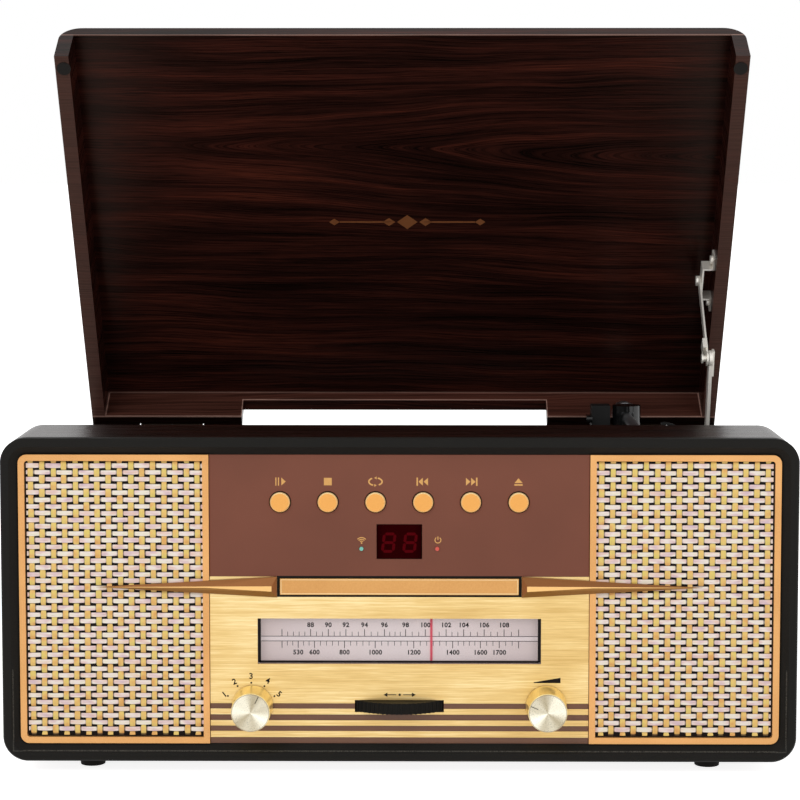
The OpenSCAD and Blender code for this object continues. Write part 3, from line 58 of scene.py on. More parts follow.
def srgb(r, g, b, a=1.0):
    # a colour read from a paint card, 0 to 255, as the renderer's linear value
    def channel(c):
        c /= 255
        return c / 12.92 if c <= 0.04045 else ((c + 0.055) / 1.055) ** 2.4
    return (channel(r), channel(g), channel(b), a)


class Link:
    # a shader socket that takes part in Python sums
    def __init__(self, shader, socket):
        self.shader = shader
        self.socket = socket

    def calc(self, operation, a, b=0.5):
        return self.shader.add("ShaderNodeMath", {"operation": operation}, {0: a, 1: b})

    def __add__(self, other):
        return self.calc("ADD", self, other)

    def __radd__(self, other):
        return self.calc("ADD", other, self)

    def __sub__(self, other):
        return self.calc("SUBTRACT", self, other)

    def __rsub__(self, other):
        return self.calc("SUBTRACT", other, self)

    def __mul__(self, other):
        return self.calc("MULTIPLY", self, other)

    def __rmul__(self, other):
        return self.calc("MULTIPLY", other, self)

    def __truediv__(self, other):
        return self.calc("DIVIDE", self, other)

    def above(self, other):
        return self.calc("GREATER_THAN", self, other)

    def below(self, other):
        return self.calc("LESS_THAN", self, other)

    def between(self, low, high):
        return self.above(low) * self.below(high)

    def sine(self):
        return self.calc("SINE", self)

    def root(self):
        return self.calc("SQRT", self)

    def size(self):
        return self.calc("ABSOLUTE", self)

    def wrap(self, period):
        return self.calc("PINGPONG", self, period)

    def angle(self, other):
        return self.calc("ARCTAN2", self, other)

    def larger(self, other):
        return self.calc("MAXIMUM", self, other)

    def smaller(self, other):
        return self.calc("MINIMUM", self, other)


class Shader:
    # one material; every node comes from add()
    def __init__(self, name):
        self.material = bpy.data.materials.new(name)
        self.material.use_nodes = True
        self.tree = self.material.node_tree
        self.tree.nodes.clear()

    def add(self, kind, settings=None, values=None, output=0):
        node = self.tree.nodes.new(kind)
        for key, value in (settings or {}).items():
            if key == "stops":
                self.setStops(node, value)
            else:
                setattr(node, key, value)
        for key, value in (values or {}).items():
            if isinstance(value, Link):
                self.tree.links.new(value.socket, node.inputs[key])
            elif value is not None:
                node.inputs[key].default_value = value
        return Link(self, node.outputs[output]) if node.outputs else None

    def setStops(self, node, stops):
        ramp = node.color_ramp
        while len(ramp.elements) < len(stops):
            ramp.elements.new(0.5)
        for element, (place, colour) in zip(ramp.elements, stops):
            element.position = place
            element.color = colour

    def place(self, turn=0.0, scale=(1, 1, 1), origin=(0, 0, 0)):
        # object coordinates in mm, measured from origin and turned about X
        raw = self.add("ShaderNodeTexCoord", output=3)
        size = tuple(1000 * s for s in scale)
        back = Matrix.Rotation(turn, 3, "X") @ Vector([-o * s for o, s in zip(origin, size)])
        return self.add("ShaderNodeMapping", None, {"Vector": raw, "Location": back, "Rotation": (turn, 0, 0),
                                                    "Scale": size})

    def split(self, vector):
        return [self.add("ShaderNodeSeparateXYZ", None, {0: vector}, i) for i in range(3)]

    def join(self, x, y, z):
        return self.add("ShaderNodeCombineXYZ", None, {0: x, 1: y, 2: z})

    def noise(self, vector, scale=1.0, detail=2.0, rough=0.5):
        return self.add("ShaderNodeTexNoise", None, {"Vector": vector, "Scale": scale, "Detail": detail,
                                                     "Roughness": rough})

    def ramp(self, factor, *stops):
        return self.add("ShaderNodeValToRGB", {"stops": stops}, {0: factor})

    def mix(self, factor, a, b):
        return self.add("ShaderNodeMix", {"data_type": "RGBA"}, {0: factor, 6: a, 7: b}, 2)

    def span(self, value, low, high, outLow=0.0, outHigh=1.0):
        return self.add("ShaderNodeMapRange", None, {0: value, 1: low, 2: high, 3: outLow, 4: outHigh})

    def bump(self, height, strength, distance):
        # distance in mm
        return self.add("ShaderNodeBump", None, {"Strength": strength, "Distance": distance * mm, "Height": height})

    def finish(self, **sockets):
        values = {key.replace("_", " "): value for key, value in sockets.items()}
        return self.output(self.add("ShaderNodeBsdfPrincipled", None, values))

    def output(self, shader):
        self.add("ShaderNodeOutputMaterial", None, {0: shader})
        return self.material


# on the lid in mm: X from its middle, Y from its hinge, Z from its rim
notch = {"left": -115.5, "right": 102.7, "top": 19.3}
lidLines = {"back": -9.9, "wallY": (-10.3, -9.3), "wallZ": (0.1, 27.6), "foldY": (-10.6, -9.2),
            "foldZ": (27.1, 28.3), "lipY": (-10.2, -9.0), "lipZ": 0.9, "rimZ": 0.4, "end": -303.0, "corner": 212.5,
            "edgeLine": 0.7}


def woodGrain(name, heart, turn=0.0, origin=(0, 0, 0), seed=0.0, lid=False):
    # dark rosewood veneer folded round the edges; its grain opens round the heart. On the lid, painted light and
    # shade on the back wall and its rim and painted highlights along its edges; on the cabinet, painted shade on the
    # top faces
    wood = {"dark": srgb(14, 5, 3), "middle": srgb(38, 17, 13), "warm": srgb(62, 28, 21), "streak": srgb(96, 44, 30),
            "rim": srgb(80, 54, 47), "wall": srgb(94, 56, 46), "edge": srgb(190, 150, 136)}
    s = Shader(name)
    x, y, z = s.split(s.place(turn, origin=origin))
    facing = s.add("ShaderNodeTexCoord", output=1)
    turned = s.add("ShaderNodeMapping", {"vector_type": "NORMAL"}, {"Vector": facing, "Rotation": (turn, 0, 0)})
    normal = s.split(turned)
    endWall = normal[1].size().above(0.7)
    along = x + z + seed
    across = y * (1 - endWall) + z * endWall
    wave = s.noise(s.join(along * 0.0045, across * 0.016, seed), detail=2.0) - 0.5
    v = across + wave * 22 - heart[1] - x * 0.02
    spread = s.span(x, -150, 240, 0, 40) / (v * v * 0.0005 + 1)
    ring = (v * v + 12).root() - spread
    bands = s.noise(s.join(along * 0.0030, ring * 0.085, 3.1 + seed), detail=2.0, rough=0.55)
    streaks = s.noise(s.join(along * 0.0070, ring * 0.34, 5.9 + seed), detail=3.0, rough=0.6)
    fibres = s.noise(s.join(along * 0.018, ring * 1.5, 7.7 + seed), detail=3.0, rough=0.6)
    hair = s.noise(s.join(along * 0.06, ring * 3.8, 1.3 + seed), detail=2.0)
    zones = s.noise(s.join(along * 0.006, across * 0.02, 8.8 + seed), detail=1.0) - 0.5
    tone = bands * 0.36 + streaks * 0.28 + fibres * 0.22 + hair * 0.14 + zones * 0.16
    colour = s.ramp(tone, (0.39, wood["dark"]), (0.49, wood["middle"]), (0.57, wood["warm"]), (0.68, wood["streak"]))
    pores = s.span(hair * 0.6 + fibres * 0.4, 0.40, 0.47)
    colour = s.mix(pores, s.mix(0.6, colour, srgb(8, 4, 3)), colour)
    if lid:
        m = lidLines
        back = y.above(m["back"])
        rims = z.below(m["rimZ"]) * normal[2].below(-0.5)
        colour = s.mix(rims * (1 - back) * s.span(fibres, 0.3, 0.7, 0.5, 0.95), colour, wood["rim"])
        # painted shade: the back wall's rim is made nearly black
        colour = s.mix(rims * back * 0.8, colour, srgb(8, 3, 2))
        # painted light: the back wall's inner face is made lighter
        wall = z.between(*m["wallZ"]) * y.between(*m["wallY"])
        colour = s.mix(wall * s.span(streaks, 0.3, 0.7, 0.15, 0.8), colour, wood["wall"])
        # painted highlights: pale lines along the fold, the lip, the far end, the inner corners and the notch's
        # outline
        fold = z.between(*m["foldZ"]) * y.between(*m["foldY"])
        lip = z.below(m["lipZ"]) * y.between(*m["lipY"])
        end = z.between(*m["foldZ"]) * y.below(m["end"])
        corner = wall * x.size().above(m["corner"])
        inNotch = x.between(notch["left"] - m["edgeLine"], notch["right"] + m["edgeLine"])
        outline = wall * inNotch * z.below(notch["top"] + m["edgeLine"])
        edgeLine = (fold * 0.45 + lip + end * 0.8 + corner + outline).smaller(1)
        colour = s.mix(edgeLine * s.span(streaks, 0.35, 0.6, 0.35, 0.75), colour, wood["edge"])
    else:
        # painted shade and reflection: faces that point up are darkened, standing in for the open lid's shade
        colour = s.mix(normal[2].above(0.7) * 0.7, colour, srgb(5, 2, 1))
    height = fibres * 0.4 + pores * 0.6
    return s.finish(Base_Color=colour, Roughness=s.span(fibres, 0.3, 0.7, 0.24, 0.32),
                    Specular_IOR_Level=0.14 if lid else 0.25, Specular_Tint=srgb(255, 222, 204),
                    Normal=s.bump(height, 0.15, 0.08))


def blackTexture():
    # sprayed black, with a faint painted highlight line round the front's lip low down
    s = Shader("blackTexture")
    p = s.place(origin=(0, frontY, 0))
    x, y, z = s.split(p)
    inset = (222.5 - x.size()).smaller(z - 8)
    lip = inset.between(5.5, 6.1) * y.below(2) * z.below(60)
    grit = s.noise(p, 1.6, 3.0, 0.65)
    cloud = s.noise(p, 0.05, 2.0)
    colour = s.mix(s.span(grit, 0.35, 0.7), srgb(11, 10, 8), srgb(30, 28, 25))
    colour = s.mix(cloud * 0.3, colour, srgb(23, 21, 19))
    # painted highlight along the lip's edge
    colour = s.mix(lip * s.span(grit, 0.35, 0.6) * 0.7, colour, srgb(92, 90, 84))
    return s.finish(Base_Color=colour, Roughness=s.span(grit, 0.3, 0.7, 0.46, 0.62), Specular_IOR_Level=0.12,
                    Normal=s.bump(grit, 0.45, 0.16))


def satin(name, colour, other, roughness=0.4, metallic=0.0, grain=0.4, bump=0.08, coat=0.0, shine=0.22):
    # a plain moulded or painted finish with slight mottling
    s = Shader(name)
    p = s.place()
    fine = s.noise(p, grain * 5, 3.0, 0.6)
    broad = s.noise(p, grain * 0.12, 2.0)
    tone = s.span(fine * 0.5 + broad * 0.5, 0.3, 0.7)
    return s.finish(Base_Color=s.mix(tone, colour, other), Metallic=metallic, Coat_Weight=coat,
                    Specular_IOR_Level=shine, Roughness=s.span(fine, 0.2, 0.8, roughness * 0.85, roughness * 1.15),
                    Normal=s.bump(fine, bump, 0.1))


def goldBezel():
    s = Shader("goldBezel")
    p = s.place()
    fine = s.noise(p, 1.2, 3.0)
    broad = s.noise(p, 0.03, 2.0)
    colour = s.mix(s.span(broad, 0.35, 0.65), srgb(224, 166, 102), srgb(210, 152, 90))
    colour = s.mix(s.span(fine, 0.3, 0.7) * 0.35, colour, srgb(232, 182, 124))
    return s.finish(Base_Color=colour, Metallic=0.55, Roughness=0.42, Specular_IOR_Level=0.3,
                    Normal=s.bump(fine, 0.08, 0.1))


def brushedGold():
    # the lower fascia: brushed along X, with brown printed stripes in its grooves
    stripes = ((17.2, 20.9), (24.4, 27.5), (30.6, 33.9), (37.2, 40.2))
    s = Shader("brushedGold")
    x, y, z = s.split(s.place(origin=(0, frontY, 0)))
    streaks = s.noise(s.join(x * 0.055, y, z * 3.4), detail=3.0, rough=0.65)
    longer = s.noise(s.join(x * 0.012, y, z * 0.7), detail=2.0)
    cloud = s.noise(s.join(x * 0.02, y * 0.01, z * 0.05), detail=2.0)
    # painted sheen: a little brighter towards the left and towards the top
    tone = streaks * 0.5 + longer * 0.2 + cloud * 0.3 + s.span(x, -80, 80, 0.02, -0.02) + s.span(z, 90, 102, 0, 0.03)
    colour = s.ramp(tone, (0.34, srgb(200, 163, 96)), (0.5, srgb(223, 190, 124)), (0.64, srgb(244, 221, 166)))
    mask = sum(z.between(low, high) for low, high in stripes)
    brown = s.mix(streaks, srgb(94, 56, 36), srgb(118, 78, 54))
    colour = s.mix(mask, colour, brown)
    return s.finish(Base_Color=colour, Metallic=(1 - mask) * 0.62, Roughness=s.span(streaks, 0.3, 0.7, 0.30, 0.46),
                    Normal=s.bump(streaks * (1 - mask), 0.22, 0.05))


def brownPanel():
    s = Shader("brownPanel")
    p = s.place()
    fine = s.noise(p, 2.2, 3.0)
    broad = s.noise(p, 0.02, 2.0)
    colour = s.mix(s.span(broad, 0.35, 0.65), srgb(121, 72, 56), srgb(129, 77, 60))
    colour = s.mix(fine * 0.25, colour, srgb(108, 64, 50))
    return s.finish(Base_Color=colour, Roughness=0.5, Specular_IOR_Level=0.22, Normal=s.bump(fine, 0.06, 0.08))


def strawWeft():
    # pale flat straws that run across, faintly pink, with painted shade where they dive under
    s = Shader("strawWeft")
    x, y, z = s.split(s.place(origin=(0, frontY, 0)))
    patch = s.noise(s.join(x * 0.12, z * 0.26, 2.0), detail=1.0)
    fibre = s.noise(s.join(x * 0.25, z * 5.0, 5.0), detail=2.0)
    other = s.noise(s.join(x * 0.1, z * 0.26, 9.0), detail=1.0)
    colour = s.ramp(patch, (0.34, srgb(255, 246, 228)), (0.48, srgb(255, 242, 234)), (0.60, srgb(248, 222, 218)),
                    (0.72, srgb(232, 204, 212)))
    colour = s.mix(s.span(other, 0.54, 0.68) * 0.5, colour, srgb(250, 210, 186))
    colour = s.mix(s.span(fibre, 0.44, 0.2) * 0.45, colour, srgb(170, 144, 130))
    # painted shade: darker the further back the straw lies
    colour = s.mix(s.span(y, 5.54, 5.67) * 0.88, colour, srgb(40, 22, 14))
    return s.finish(Base_Color=colour, Roughness=0.4, Specular_IOR_Level=0.25, Normal=s.bump(fibre, 0.3, 0.08))


def goldWarp():
    # golden barrels that run down, a little yellower at the top, with painted shade where they dive under
    s = Shader("goldWarp")
    x, y, z = s.split(s.place(origin=(0, frontY, 0)))
    patch = s.noise(s.join(x * 0.15, z * 0.2, 4.0), detail=1.0) - s.span(z, 20, 178, -0.05, 0.05)
    fibre = s.noise(s.join(x * 5.0, z * 0.3, 1.0), detail=2.0)
    colour = s.ramp(patch, (0.30, srgb(240, 216, 116)), (0.46, srgb(246, 212, 122)), (0.58, srgb(246, 200, 116)),
                    (0.72, srgb(238, 178, 100)))
    colour = s.mix(s.span(fibre, 0.45, 0.2) * 0.45, colour, srgb(184, 132, 60))
    # painted shade: darker the further back the barrel lies
    colour = s.mix(s.span(y, 5.46, 5.62) * 0.88, colour, srgb(40, 24, 10))
    return s.finish(Base_Color=colour, Roughness=0.34, Specular_IOR_Level=0.35, Coat_Weight=0.1,
                    Normal=s.bump(fibre, 0.25, 0.08))


def turnedMetal(name, colour, other, roughness=0.24, metallic=1.0):
    s = Shader(name)
    p = s.place()
    fine = s.noise(p, 3.0, 2.0)
    return s.finish(Base_Color=s.mix(fine, colour, other), Metallic=metallic,
                    Roughness=s.span(fine, 0.3, 0.7, roughness * 0.9, roughness * 1.2))


# the two knobs' faces: turning marks and a dark index line
knobFace = {"x": 82.5, "z": 39.0, "front": -13.8, "radius": 10.5, "edgeLine": 10.1, "grooves": 38, "cut": 0.030,
            "indexFrom": 5.8, "indexTo": 10.2, "indexWide": 0.4}


def knobFaceMetal():
    # turned faces of the two knobs: painted highlights as bright wedges round the axis, and a darker ring at the rim
    s = Shader("knobFaceMetal")
    x, y, z = s.split(s.place(origin=(0, frontY, knobFace["z"] * mm)))
    side = x.size() - knobFace["x"]
    far = (side * side + z * z).root()
    spoke = z.angle(side)
    # painted highlights: bright wedges by angle round the axis stand in for the turned metal's reflection
    wedgeHighlight = (spoke * 2 + 0.6).sine() * 0.5 + 0.5
    finerHighlight = (spoke * 5 + 1.9).sine() * 0.5 + 0.5
    fine = s.noise(s.join(x, y, z), 3.0, 2.0)
    colour = s.mix(wedgeHighlight * wedgeHighlight * 0.6 + finerHighlight * 0.3 + fine * 0.1, srgb(172, 160, 132), srgb(255, 252, 234))
    colour = s.mix(far.above(knobFace["edgeLine"]) * 0.6, colour, srgb(140, 122, 96))
    return s.finish(Base_Color=colour, Metallic=0.7, Roughness=s.span(fine, 0.3, 0.7, 0.26, 0.34))


def spearFacetShade():
    # one bronze metal with painted reflection and shade: the flat wedge pale gold, the slopes above and below it and
    # the ends darker
    s = Shader("spearFacetShade")
    normal = s.split(s.add("ShaderNodeTexCoord", output=1))
    fine = s.noise(s.place(), 1.4, 3.0)
    colour = s.mix(normal[2].above(0.12), srgb(242, 194, 124), srgb(134, 84, 42))
    colour = s.mix(normal[2].below(-0.12), colour, srgb(138, 96, 44))
    colour = s.mix(normal[0].size().above(0.45), colour, srgb(138, 84, 42))
    colour = s.mix(fine * 0.2, colour, srgb(170, 120, 76))
    return s.finish(Base_Color=colour, Metallic=0.55, Roughness=0.36, Specular_IOR_Level=0.3,
                    Normal=s.bump(fine, 0.06, 0.08))


def buttonGold():
    # gold caps with a painted highlight on the rim, brighter towards the top; painted shade darkens their sides
    # inside the panel
    cap = {"pitch": 26.65, "z": 154.4, "rim": 4.95}
    s = Shader("buttonGold")
    x, y, z = s.split(s.place(origin=(0, frontY, cap["z"] * mm)))
    fine = s.noise(s.join(x, y, z), 1.5, 3.0)
    aside = cap["pitch"] / 2 - x.wrap(cap["pitch"] / 2)
    rim = (aside * aside + z * z).root().above(cap["rim"])
    colour = s.mix(fine, srgb(234, 170, 90), srgb(222, 156, 78))
    # painted highlight on the rim, stronger towards the top
    colour = s.mix(rim * s.span(z - aside, -5, 5, 0.35, 1.0), colour, srgb(255, 226, 168))
    # painted shade on the sides that lie inside the panel
    colour = s.mix(y.above(4.3), colour, srgb(28, 20, 16))
    return s.finish(Base_Color=colour, Metallic=0.5, Roughness=0.34, Specular_IOR_Level=0.3,
                    Normal=s.bump(fine, 0.06, 0.08))


def smokedWindow():
    s = Shader("smokedWindow")
    x, y, z = s.split(s.place(origin=(0, frontY, 0.132)))
    edge = s.span(x.size(), 8, 12.4)
    haze = s.noise(s.join(x, y, z), 0.05, 1.0)
    colour = s.mix(edge * 0.6 + haze * 0.3, srgb(46, 2, 4), srgb(26, 1, 3))
    return s.finish(Base_Color=colour, Roughness=0.16, Specular_IOR_Level=0.0)


def lightPair():
    # the two lights share one shader: teal on the left, red on the right
    s = Shader("lightPair")
    x, y, z = s.split(s.place())
    haze = s.noise(s.join(x, y, z), 1.2, 1.0)
    colour = s.mix(x.above(0), srgb(112, 190, 172), srgb(214, 72, 52))
    colour = s.mix(haze * 0.12, colour, srgb(255, 255, 255))
    return s.finish(Base_Color=colour, Roughness=0.22, Specular_IOR_Level=0.1, Emission_Color=colour,
                    Emission_Strength=0.12)


def dialFace():
    # the scale behind the window, with painted light and shade: a glow over all of it and darker ends; a paler band
    # runs along the middle
    s = Shader("dialFace")
    x, y, z = s.split(s.place(origin=(0, frontY, 0.0763)))
    ends = s.span(x.size(), 30, 80)
    fine = s.noise(s.join(x, y, z), 1.5, 3.0)
    band = z.size().below(1.3)
    # painted shade: darker towards the ends
    colour = s.mix(ends * 0.6, srgb(214, 204, 202), srgb(190, 174, 170))
    colour = s.mix(band * 0.5, colour, srgb(226, 218, 218))
    colour = s.mix(fine * 0.12, colour, srgb(204, 192, 190))
    # painted light: the face is given a glow
    return s.finish(Base_Color=colour, Roughness=0.5, Specular_IOR_Level=0.1, Emission_Color=colour,
                    Emission_Strength=0.4, Normal=s.bump(fine, 0.04, 0.05))


def thinGlass(name, tint):
    # a clear sheet: what lies behind shows, with a faint gloss on top
    s = Shader(name)
    p = s.place()
    ripple = s.noise(p, 0.02, 1.0)
    clear = s.add("ShaderNodeBsdfTransparent", None, {"Color": s.mix(ripple, tint, srgb(250, 250, 252))})
    gloss = s.add("ShaderNodeBsdfGlossy", None, {"Color": srgb(250, 250, 250), "Roughness": 0.03})
    edge = s.add("ShaderNodeFresnel", None, {"IOR": 1.38})
    return s.output(s.add("ShaderNodeMixShader", None, {0: edge * 0.3, 1: clear, 2: gloss}))


def grooved(name, colour, other, middle, pitch, roughness=0.6):
    # rings turned about an upright axis, as on a rubber mat
    s = Shader(name)
    x, y, z = s.split(s.place(origin=middle))
    r = (x * x + y * y).root()
    ring = (r * (2 * math.pi / pitch)).sine() * 0.5 + 0.5
    fine = s.noise(s.join(x, y, z), 1.0, 3.0)
    return s.finish(Base_Color=s.mix(ring * 0.5 + fine * 0.5, colour, other), Roughness=roughness,
                    Specular_IOR_Level=0.2, Normal=s.bump(ring + fine * 0.3, 0.5, 0.3))


finishes = {
    "lidWood": woodGrain("lidWood", (250, -216), lidAngle, lidHinge, 0.0, True),
    "cabinetWood": woodGrain("cabinetWood", (2400, 700), 0.0, (0, 0, 0), 411.0),
    "backBoard": satin("backBoard", srgb(24, 22, 20), srgb(38, 34, 31), 0.75, grain=0.6, bump=0.25),
    "blackTexture": blackTexture(),
    "blackPlastic": satin("blackPlastic", srgb(20, 20, 20), srgb(32, 32, 32), 0.38, grain=0.5),
    "wheelBlack": satin("wheelBlack", srgb(12, 11, 9), srgb(24, 21, 17), 0.45, grain=0.9, shine=0.1),
    # painted highlight for the door's edge
    "doorEdgeHighlight": satin("doorEdgeHighlight", srgb(246, 214, 160), srgb(236, 198, 140), 0.4, metallic=0.3, grain=0.5),
    "blackGloss": satin("blackGloss", srgb(12, 12, 12), srgb(22, 22, 22), 0.18, grain=0.3, coat=0.4),
    "blackCloth": satin("blackCloth", srgb(14, 10, 9), srgb(26, 19, 17), 0.95, grain=0.8, bump=0.6),
    "rubber": satin("rubber", srgb(18, 15, 13), srgb(29, 25, 22), 0.8, grain=0.7, bump=0.2),
    "goldBezel": goldBezel(),
    "brushedGold": brushedGold(),
    "brownPanel": brownPanel(),
    "buttonGold": buttonGold(),
    "doorGold": satin("doorGold", srgb(216, 162, 98), srgb(202, 146, 84), 0.38, metallic=0.5, grain=0.2),
    "spearBronze": spearFacetShade(),
    "weft": strawWeft(),
    "warp": goldWarp(),
    "knobSide": turnedMetal("knobSide", srgb(255, 238, 172), srgb(250, 226, 154), 0.3, 0.85),
    "knobFace": knobFaceMetal(),
    "nickel": turnedMetal("nickel", srgb(226, 224, 218), srgb(206, 204, 198), 0.24),
    "stayNickel": turnedMetal("stayNickel", srgb(250, 246, 238), srgb(236, 230, 220), 0.3, 0.45),
    "darkHinge": turnedMetal("darkHinge", srgb(44, 34, 28), srgb(62, 48, 38), 0.4, 0.6),
    "steel": turnedMetal("steel", srgb(176, 176, 178), srgb(150, 150, 152), 0.34),
    "alloy": turnedMetal("alloy", srgb(206, 206, 208), srgb(188, 188, 190), 0.3),
    "brass": turnedMetal("brass", srgb(214, 172, 96), srgb(196, 152, 80), 0.28),
    "dialFace": dialFace(),
    "dialGlass": thinGlass("dialGlass", srgb(251, 249, 249)),
    "smokeWindow": smokedWindow(),
    "dimDigit": satin("dimDigit", srgb(78, 6, 12), srgb(88, 8, 16), 0.4, grain=0.1, bump=0.0, shine=0.0),
    "pointerRed": satin("pointerRed", srgb(250, 104, 122), srgb(242, 90, 110), 0.4, grain=0.3, shine=0.15),
    "lightPair": lightPair(),
    "inkBlack": satin("inkBlack", srgb(16, 12, 12), srgb(26, 21, 20), 0.6, grain=0.5, bump=0.0, shine=0.1),
    "inkGold": satin("inkGold", srgb(226, 174, 106), srgb(214, 160, 92), 0.45, metallic=0.2, grain=0.5, bump=0.0),
    "inkCopper": satin("inkCopper", srgb(176, 112, 70), srgb(160, 98, 58), 0.4, metallic=0.5, grain=0.4, bump=0.0),
    "greenBoard": satin("greenBoard", srgb(34, 92, 50), srgb(44, 108, 60), 0.4, grain=0.5),
    "greyPlastic": satin("greyPlastic", srgb(52, 52, 54), srgb(66, 66, 68), 0.5, grain=0.4),
    "whitePlastic": satin("whitePlastic", srgb(206, 204, 196), srgb(220, 218, 210), 0.45, grain=0.4),
    "belt": satin("belt", srgb(22, 21, 20), srgb(34, 32, 30), 0.7, grain=0.8),
    "cordFibre": satin("cordFibre", srgb(196, 188, 164), srgb(214, 206, 186), 0.8, grain=1.0, bump=0.4),
}
platterMiddle = Vector([(a + b) / 2 for a, b in zip(*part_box("spindle"))])
finishes["mat"] = grooved("mat", srgb(20, 20, 20), srgb(36, 36, 35), platterMiddle, 2.4)
finishes["turnedPlatter"] = grooved("turnedPlatter", srgb(120, 120, 122), srgb(150, 150, 152), platterMiddle, 1.2,
                                    0.35)

nodeFinish = {
    "cabinet_shell": "cabinetWood", "lid_shell": "lidWood", "front_frame": "blackTexture",
    "baffle_board": "backBoard", "inner_boards": "backBoard", "back_panel": "backBoard", "cabinet_screws": "steel",
    "feet": "rubber", "grille_bezels": "goldBezel", "grille_cloths": "blackCloth", "speakers": "greyPlastic",
    "control_panel": "brownPanel", "gold_fascia": "brushedGold", "spear_trims": "spearBronze",
    "display_window": "smokeWindow", "status_lights": "lightPair", "control_board": "greenBoard",
    "function_knob": "knobSide", "volume_knob": "knobSide", "rotary_controls": "steel", "dial_lens": "dialGlass",
    "dial_plate": "dialFace", "dial_pointer": "pointerRed", "dial_cord": "cordFibre", "tuning_wheel": "wheelBlack",
    "tuning_gear": "brass", "tuning_bracket": "steel", "cd_loader_frame": "greyPlastic", "cd_tray": "blackPlastic",
    "cd_door": "doorGold", "disc_hub": "whitePlastic", "laser_sled": "greyPlastic", "main_board": "greenBoard",
    "power_transformer": "steel", "rear_sockets": "blackGloss", "deck_plate": "blackTexture",
    "platter": "turnedPlatter", "slip_mat": "mat", "spindle": "nickel", "platter_motor": "steel",
    "motor_pulley": "brass", "drive_belt": "belt", "tonearm_base": "blackPlastic", "tonearm_yoke": "blackGloss",
    "tonearm": "alloy", "arm_clip": "blackPlastic", "cue_lever": "blackGloss", "speed_switch": "blackPlastic",
    "lid_hinges": "darkHinge", "cabinet_hinges": "darkHinge", "lid_bumpers": "rubber",
    "stay_bracket": "stayNickel", "stay_upper_arm": "stayNickel", "stay_lower_arm": "stayNickel",
}
for button in ("play", "stop", "repeat", "previous", "next", "eject"):
    nodeFinish[button + "_button"] = "buttonGold"
for node, finish in nodeFinish.items():
    mesh = frame["nodes"][node].data
    mesh.materials.clear()
    mesh.materials.append(finishes[finish])
print("finishes on", len(nodeFinish), "nodes")


def newPiece(name, shape, finish, body="cabinet", smooth=None):
    mesh = bpy.data.meshes.new(name)
    shape.to_mesh(mesh)
    shape.free()
    mesh.materials.append(finishes[finish])
    if smooth is not None:
        mesh.shade_smooth()
        mesh.set_sharp_from_angle(angle=math.radians(smooth))
    piece = bpy.data.objects.new(name, mesh)
    bpy.context.scene.collection.objects.link(piece)
    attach(piece, body)


def thicken(shape, thickness):
    # turns flat marks to the front, then gives them a real thickness, all faces outwards
    shape.normal_update()
    bmesh.ops.reverse_faces(shape, faces=[f for f in shape.faces if f.normal.y > 0])
    bmesh.ops.solidify(shape, geom=shape.faces[:], thickness=thickness * mm)
    if shape.calc_volume(signed=True) < 0:
        bmesh.ops.reverse_faces(shape, faces=shape.faces[:])
    return shape


def facing(x, depth, z, turn=0.0):
    # puts a mark drawn in XY on the front, facing the viewer and turned clockwise
    return Matrix.Translation(front(x, depth, z)) @ Matrix.Rotation(math.pi / 2, 4, "X") @ \
        Matrix.Rotation(-math.radians(turn), 4, "Z")


def bar(shape, place, x, y, w, h, slant=0.0):
    grid = bmesh.ops.create_grid(shape, x_segments=1, y_segments=1, size=0.5)["verts"]
    for v in grid:
        v.co = place @ Vector(((x + v.co.x * w + v.co.y * h * slant) * mm, (y + v.co.y * h) * mm, 0))


def polygon(shape, place, x, y, w, h, corners, turn=0.0):
    # a filled dot, triangle or lozenge; a triangle points up, or left at 90 and right at -90
    ring = bmesh.ops.create_circle(shape, cap_ends=True, segments=corners, radius=0.5,
                                   matrix=Matrix.Rotation(math.radians(turn), 4, "Z"))["verts"]
    if abs(abs(turn) - 90) < 1:
        w, h = h, w
    for v in ring:
        v.co = place @ Vector(((x + v.co.x * w) * mm, (y + v.co.y * h) * mm, 0))


def arc(shape, place, x, y, rx, ry, start, stop, width, steps=20):
    # part of a ring, as an open band
    for i in range(steps):
        a, b = [math.radians(start + (stop - start) * k / steps) for k in (i, i + 1)]
        grid = bmesh.ops.create_grid(shape, x_segments=1, y_segments=1, size=0.5)["verts"]
        for v in grid:
            turn = a if v.co.x < 0 else b
            grow = 0.5 * width if v.co.y > 0 else -0.5 * width
            spot = (x + (rx + grow) * math.sin(turn), y + (ry + grow) * math.cos(turn))
            v.co = place @ Vector((spot[0] * mm, spot[1] * mm, 0))


def number(shape, place, words, height):
    # plain numerals, centred on place
    curve = bpy.data.curves.new("numerals", "FONT")
    curve.body = words
    curve.size = height * mm / 0.72  # a numeral is 0.72 of the size tall
    curve.align_x = "CENTER"
    curve.align_y = "CENTER"
    curve.offset = 0.12 * mm
    curve.space_character = 1.08
    curve.resolution_u = 4
    holder = bpy.data.objects.new("numerals", curve)
    bpy.context.scene.collection.objects.link(holder)
    bpy.context.view_layer.update()
    flat = bpy.data.meshes.new_from_object(holder.evaluated_get(bpy.context.evaluated_depsgraph_get()))
    flat.transform(place)
    shape.from_mesh(flat)
    bpy.data.objects.remove(holder)
    bpy.data.curves.remove(curve)
    bpy.data.meshes.remove(flat)


# woven grilles: flat pale straws across, crowned golden ones down
weave = {
    "left": 109.9, "right": 208.7, "bottom": 21.9, "top": 177.1, "columns": 16, "rows": 41, "pitchX": 6.2,
    "pitchZ": 3.83, "depth": 5.42, "swing": 0.27, "rowHalf": 1.27, "columnHalf": 1.5, "crown": 0.22,
    "rowThick": 0.12, "jitter": 0.13, "least": 0.5,
}


def crossing(x, row, w):
    # how far a straw sways between its two sides, with flats over the crossings
    wave = math.cos(math.pi * (x / w - row))
    return max(-1.0, min(1.0, wave * 1.5))


